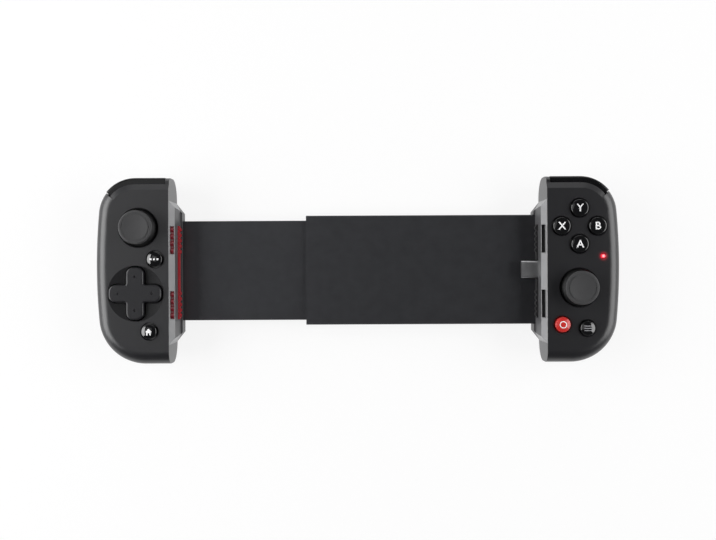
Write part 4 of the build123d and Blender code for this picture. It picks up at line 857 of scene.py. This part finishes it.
def three_dots(centre):
    """Three dots side by side."""
    marks = bpy.context.scene.controller_marks
    return [disc(centre + Vector((step * marks.dot_pitch, 0, 0)), marks.dot) for step in (-1, 0, 1)]


def three_lines(centre):
    """Three lines over each other."""
    marks = bpy.context.scene.controller_marks
    return [
        bar(centre + Vector((0, step * marks.line_pitch, 0)), marks.line, marks.line_width)
        for step in (-1, 0, 1)
    ]


def ring_sign(centre):
    """Ring left of a disc whose middle is taken out."""
    marks = bpy.context.scene.controller_marks
    made = disc(centre, marks.ring, RING_CORNERS)
    edit()
    bpy.ops.mesh.select_all(action="SELECT")
    bpy.ops.mesh.inset(thickness=marks.ring_width)
    bpy.ops.mesh.delete(type="FACE")
    done()
    return [made]


# Name, shape and ink of each sign; the other keys carry the letter that ends their name
SIGNS = {
    "turbo_button": ("turbo_ring", ring_sign, "mark"),
    "menu_button": ("menu_lines", three_lines, "grey_mark"),
    "options_button": ("options_dots", three_dots, "mark"),
    "home_button": ("home_house", house, "mark"),
}


def printed(key, sheet, finish):
    """Lay a flat sheet on a key's dome and give it the thickness of a print."""
    marks = bpy.context.scene.controller_marks
    alone(sheet)
    low, high = corners_of(sheet)
    edit()
    for axis, normal in ((0, (1, 0, 0)), (1, (0, 1, 0))):
        span = high[axis] - low[axis]
        steps = max(2, round(span / PRINT_STEP))
        for step in range(1, steps):
            cut = list(low)
            cut[axis] = low[axis] + span * step / steps
            bpy.ops.mesh.select_all(action="SELECT")
            bpy.ops.mesh.bisect(plane_co=cut, plane_no=normal)
    done()
    wrap = sheet.modifiers.new("Wrap", "SHRINKWRAP")
    wrap.target = key
    wrap.wrap_method = "PROJECT"
    wrap.use_project_z = True
    wrap.use_negative_direction = True
    wrap.use_positive_direction = True
    wrap.offset = marks.lift + marks.film
    film = sheet.modifiers.new("Film", "SOLIDIFY")
    film.thickness = marks.film
    film.offset = -1
    apply_all(sheet)
    edit()
    face_out()
    return dress(sheet, finish)


class CONTROLLER_OT_keys(bpy.types.Operator):
    """Make the round keys with their letters and signs"""

    bl_idname = "controller.keys"
    bl_label = "Keys and Prints"

    def execute(self, context):
        for node, (finish, slot) in KEYS.items():
            key = make_key(node)
            dress(key, finish)
            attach(key, node)
            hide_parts(node)
            at = key_place(node)[0]
            at.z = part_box(node)[1].z + PRINT_HEIGHT
            if node in SIGNS:
                name, draw, ink = SIGNS[node]
                sheet = flat_sheet(name, draw(at))
            else:
                ink = "mark"
                sheet = flat_sheet(f"{node}_letter", [letter(node[-1].upper(), at)])
            printed(key, sheet, ink)
            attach(sheet, node)
        return {"FINISHED"}


# Sticks, shells and the rest of the CAD pieces

CAP_HEIGHT = 2.4 * MM
CAP_ROUND = 0.7 * MM
RING_RADIUS = 6.24 * MM
TICK_RADIUS = 0.34 * MM
TICK_SUNK = 0.16 * MM
TICK_RISE = 0.2 * MM
TICK_TURNS = {"left": (0,), "right": (0, 180)}
TICK_STEPS = 6
TICK_CORNERS = 24
TICK_TIP_SHARE = 0.05
CAP_ANGLE = 28
TICK_ANGLE = 60
SIDES = ("left", "right")


def dome(name, centre, radius, foot, rise):
    """Small round bump with a foot height and a rise over it."""
    turns = [pi / 2 * step / TICK_STEPS for step in range(TICK_STEPS)]
    profile = [(radius * cos(turn), foot + rise * sin(turn)) for turn in turns]
    profile.append((radius * TICK_TIP_SHARE, foot + rise))
    return turned(name, centre, profile, TICK_CORNERS)


class CONTROLLER_OT_sticks(bpy.types.Operator):
    """Dress the thumb sticks and add the raised ticks on their rings"""

    bl_idname = "controller.sticks"
    bl_label = "Thumb Sticks"

    def execute(self, context):
        for side in SIDES:
            low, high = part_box(f"{side}_stick_cap")
            centre = (low + high) / 2
            cap = twin(f"{side}_stick_top", f"{side}_stick_cap")
            smooth(cap, CAP_ANGLE)
            dress(cap, "cap")
            cap.data.materials.append(material_of("cap_skirt"))
            # Painted shade: faces below the cap's rounded rim, and inside the ring those deeper than
            # the cap's height, get the near-black finish
            for face in cap.data.polygons:
                outside = (face.center.xy - centre.xy).length > RING_RADIUS
                wall_top = high.z - (CAP_ROUND if outside else CAP_HEIGHT)
                face.material_index = int(face.center.z < wall_top)
            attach(cap, f"{side}_stick")
            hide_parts(f"{side}_stick_cap")
            ticks = [
                dome(
                    f"{side}_stick_tick_{turn}",
                    (
                        centre.x + RING_RADIUS * cos(radians(turn)),
                        centre.y + RING_RADIUS * sin(radians(turn)),
                    ),
                    TICK_RADIUS,
                    high.z - TICK_SUNK,
                    TICK_RISE,
                )
                for turn in TICK_TURNS[side]
            ]
            bumps = flat_sheet(f"{side}_stick_ticks", ticks)
            smooth(bumps, TICK_ANGLE)
            dress(bumps, "cap_skirt")
            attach(bumps, f"{side}_stick")
        return {"FINISHED"}


# The dish round the direction pad and the steep sides of the end stops, both given painted shade, and
# the angles that stay sharp, in degrees
DISH_RADIUS = 13 * MM
DISH_SKIN = 0.001 * MM
DISH_FLOOR = 1.2 * MM
DISH_LEVEL = 0.9
STEEP_WIDTH = 1.69 * MM
SKIN_ANGLE = 24
DRAWN_ANGLE = 40


def both(part, look):
    """The same entry for the left and the right one of a part."""
    return {f"{side}_{part}": look for side in SIDES}


# Finish and material slot of each outer piece
SKINS = {
    "left_front_shell": ("shell", "shell"),
    "right_front_shell": ("shell_lit", "shell"),
    **both("back_shell", ("shell", "shell")),
    **both("end_stop", ("end_stop", "stop")),
    "left_slot_inserts": ("insert_red", "soft_red"),
    "right_slot_inserts": ("insert_black", "soft_black"),
    "left_contact_strip": ("strip_red", "soft_red"),
    "right_contact_strip": ("insert_black", "soft_black"),
    "direction_pad": ("pad", "black_key"),
    **both("bumper", ("gloss_black", "gloss_black")),
    **both("trigger", ("gloss_black", "gloss_black")),
    "sleeve_front": ("bridge", "bridge"),
    "sleeve_back": ("bridge", "bridge"),
    "bridge_tongue": ("bridge", "bridge"),
}
# Finish of each CAD piece that stays as it is
INNER = {
    "pad_ball": "inner_plastic",
    "charge_port": "plug",
    "light_pipe": "light",
    "usb_plug": "plug",
    **both("board", "board"),
    **both("key_membrane", "membrane"),
    **both("grip_screws", "steel"),
    "sleeve_screws": "steel",
    **both("stick_case", "plug"),
    **both("stick_cradle", "inner_plastic"),
    **both("stick_yoke", "inner_plastic"),
    **both("stick_arch", "inner_plastic"),
    **both("stick_shaft", "steel"),
    **both("bumper_pin", "steel"),
    **both("trigger_pin", "steel"),
    **both("trigger_spring", "spring"),
    **both("shoulder_switches", "inner_plastic"),
}


def paint_shade_in_dish(shell):
    """Give the shallow dish round the direction pad its own finish: painted shade, a darker tint of
    the shell, with its own roughness.
    """
    low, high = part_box("direction_pad")
    centre = (low + high) / 2
    face_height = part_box("left_front_shell")[1].z
    shell.data.materials.append(material_of("dish"))
    for face in shell.data.polygons:
        inside = (face.center.xy - centre.xy).length < DISH_RADIUS
        sunk = DISH_SKIN < face_height - face.center.z < DISH_FLOOR
        face.material_index = int(inside and sunk and face.normal.z > DISH_LEVEL)


def paint_shade_on_bay_side(stop, node):
    """Paint shade on the steep side of an end stop that looks into the bay: its faces get a darker
    finish.
    """
    stop.data.materials.append(material_of("stop_side"))
    reach = min(abs(corner.x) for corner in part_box(node)) + STEEP_WIDTH
    for face in stop.data.polygons:
        face.material_index = int(abs(face.center.x) < reach)


class CONTROLLER_OT_bodies(bpy.types.Operator):
    """Dress the shells, stops, shoulder keys and bridge plates"""

    bl_idname = "controller.bodies"
    bl_label = "Shells and Bridge"

    def execute(self, context):
        for node, (finish, slot) in SKINS.items():
            piece = twin(f"{node}_skin", node)
            if node == "left_front_shell":
                low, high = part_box("direction_pad")
                crease_circle(piece, (low + high) / 2, DISH_RADIUS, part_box(node)[1].z)
            smooth(piece, SKIN_ANGLE)
            dress(piece, finish)
            if node == "left_front_shell":
                paint_shade_in_dish(piece)
            if node.endswith("_end_stop"):
                paint_shade_on_bay_side(piece, node)
            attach(piece, frame["nodes"][node]["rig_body"])
            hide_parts(node)
        for node, finish in INNER.items():
            dress(frame["nodes"][node], finish)
        return {"FINISHED"}


class CONTROLLER_OT_drawn(bpy.types.Operator):
    """Make smooth copies of the springs and the flat cable in their own finishes"""

    bl_idname = "controller.drawn"
    bl_label = "Springs and Cable"

    def execute(self, context):
        for node, name, finish, slot in (
            ("draw_springs", "draw_spring_coils", "spring", "spring_steel"),
            ("flex_cable", "flex_ribbon", "flex", "flex"),
        ):
            piece = twin(name, node)
            smooth(piece, DRAWN_ANGLE)
            dress(piece, finish)
            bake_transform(piece)
            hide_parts(node)
        return {"FINISHED"}


# Stage

# Place and size of each lamp, in metres
LAMPS = {
    "left": ((-0.78, 0.04, 0.43), (0.9, 0.68)),
    "right": ((0.78, 0.04, 0.43), (0.9, 0.68)),
    "shoulder": ((0, 0.8, 0.45), (0.9, 0.35)),
    "top": ((-0.35, 0.1, 1.2), (0.7, 0.7)),
}
LAMP_TARGET = (0, 0, 0.01)
FLOOR_DROP = 0.1 * MM
PAPER_GRAIN = 2.5 * MM
PAPER_COLOURS = ((0.92, 0.92, 0.92), (0.95, 0.95, 0.95))
FLOOR_GLOW_SHARE = 0.85
# Heights in the sky and its colour at each, from the horizon up
SKY = ((0.05, (0.3, 0.3, 0.306, 1)), (0.6, (0.05, 0.05, 0.052, 1)))
SENSOR_WIDTH = 36
CLIP_START = 0.01
CLIP_END = 20


def area_lamp(name, place, size, watts):
    """Rectangular lamp at a place, turned to the controller."""
    lamp = bpy.data.lights.new(name, "AREA")
    lamp.shape = "RECTANGLE"
    lamp.size, lamp.size_y = size
    lamp.energy = watts
    holder = bpy.data.objects.new(name, lamp)
    bpy.context.scene.collection.objects.link(holder)
    holder.location = place
    view = Vector(LAMP_TARGET) - Vector(place)
    holder.rotation_euler = view.to_track_quat("-Z", "Y").to_euler()


def floor_finish():
    """Pale paper floor that keeps a faint shadow."""
    finish = Finish("floor")
    paper = finish.noise(PAPER_GRAIN, detail=3)
    finish.set(
        Base_Color=finish.blend(paper, *PAPER_COLOURS),
        Roughness=0.8,
        Specular_IOR_Level=0.1,
    )
    seen = finish.node("ShaderNodeLightPath")
    rays = (
        Signal(finish, seen.outputs["Is Camera Ray"])
        + Signal(finish, seen.outputs["Is Glossy Ray"])
        + Signal(finish, seen.outputs["Is Transmission Ray"])
    )
    white = finish.node("ShaderNodeEmission", None, {"Color": (1, 1, 1, 1), "Strength": 1.0})
    mixed = finish.node("ShaderNodeMixShader", None, {0: rays * FLOOR_GLOW_SHARE})
    output = next(node for node in finish.tree.nodes if node.type == "OUTPUT_MATERIAL")
    finish.tree.links.new(finish.shader.outputs["BSDF"], mixed.inputs[1])
    finish.tree.links.new(white.outputs["Emission"], mixed.inputs[2])
    finish.tree.links.new(mixed.outputs["Shader"], output.inputs["Surface"])
    return finish.material


def studio_world():
    """Sky that is pale at the horizon and dim overhead."""
    world = bpy.data.worlds.new("studio")
    world.use_nodes = True
    tree = world.node_tree
    tree.nodes.clear()
    output = tree.nodes.new("ShaderNodeOutputWorld")
    background = tree.nodes.new("ShaderNodeBackground")
    place = tree.nodes.new("ShaderNodeTexCoord")
    split = tree.nodes.new("ShaderNodeSeparateXYZ")
    ramp = tree.nodes.new("ShaderNodeValToRGB")
    for stop, (height, tone) in zip(ramp.color_ramp.elements, SKY):
        stop.position = height
        stop.color = tone
    tree.links.new(place.outputs["Generated"], split.inputs["Vector"])
    tree.links.new(split.outputs["Z"], ramp.inputs["Fac"])
    tree.links.new(ramp.outputs["Color"], background.inputs["Color"])
    tree.links.new(background.outputs["Background"], output.inputs["Surface"])
    bpy.context.scene.world = world


class CONTROLLER_OT_stage(bpy.types.Operator):
    """Set the floor, the lamps, the sky and the camera"""

    bl_idname = "controller.stage"
    bl_label = "Stage"

    def execute(self, context):
        stage = context.scene.controller_stage
        bpy.ops.object.select_all(action="DESELECT")
        bpy.ops.mesh.primitive_plane_add(size=stage.floor, location=(0, 0, -FLOOR_DROP))
        floor = settle(named("floor"))
        floor.data.materials.append(floor_finish())
        studio_world()
        for name, (place, size) in LAMPS.items():
            area_lamp(f"lamp_{name}", place, size, getattr(stage, f"{name}_power"))
        eye = bpy.data.cameras.new("camera")
        eye.sensor_width = SENSOR_WIDTH
        eye.lens = stage.lens
        eye.clip_start = CLIP_START
        eye.clip_end = CLIP_END
        camera = bpy.data.objects.new("camera", eye)
        context.scene.collection.objects.link(camera)
        camera.location = (0, 0, stage.camera_height)
        camera.rotation_euler = (0, 0, stage.roll)
        context.scene.camera = camera
        context.scene.view_settings.view_transform = "Standard"
        return {"FINISHED"}


class CONTROLLER_PT_sidebar(bpy.types.Panel):
    """Sidebar panel with the controller's steps and sizes"""

    bl_label = "Game Controller"
    bl_idname = "CONTROLLER_PT_sidebar"
    bl_space_type = "VIEW_3D"
    bl_region_type = "UI"
    bl_category = "Controller"

    def draw(self, context):
        layout = self.layout
        scene = context.scene
        for step in STEPS:
            layout.operator(step.bl_idname)
        for name in GROUPS:
            group = getattr(scene, name)
            box = layout.box()
            for prop in group.bl_rna.properties:
                if prop.identifier not in ("rna_type", "name"):
                    box.prop(group, prop.identifier)


GROUPS = {
    "controller_colours": ControllerColours,
    "controller_marks": ControllerMarks,
    "controller_keys": ControllerKeys,
    "controller_stage": ControllerStage,
}
STEPS = (
    CONTROLLER_OT_keys,
    CONTROLLER_OT_sticks,
    CONTROLLER_OT_bodies,
    CONTROLLER_OT_drawn,
    CONTROLLER_OT_stage,
)


def register():
    """Add the controller's properties, operators and panel to Blender."""
    for name, group in GROUPS.items():
        bpy.utils.register_class(group)
        setattr(bpy.types.Scene, name, PointerProperty(type=group))
    for step in STEPS:
        bpy.utils.register_class(step)
    bpy.utils.register_class(CONTROLLER_PT_sidebar)


def unregister():
    """Take the controller's properties, operators and panel out of Blender."""
    bpy.utils.unregister_class(CONTROLLER_PT_sidebar)
    for step in reversed(STEPS):
        bpy.utils.unregister_class(step)
    for name, group in GROUPS.items():
        delattr(bpy.types.Scene, name)
        bpy.utils.unregister_class(group)


def main():
    """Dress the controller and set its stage."""
    register()
    bpy.ops.controller.keys()
    bpy.ops.controller.sticks()
    bpy.ops.controller.bodies()
    bpy.ops.controller.drawn()
    bpy.ops.controller.stage()


if __name__ == "__main__":
    main()
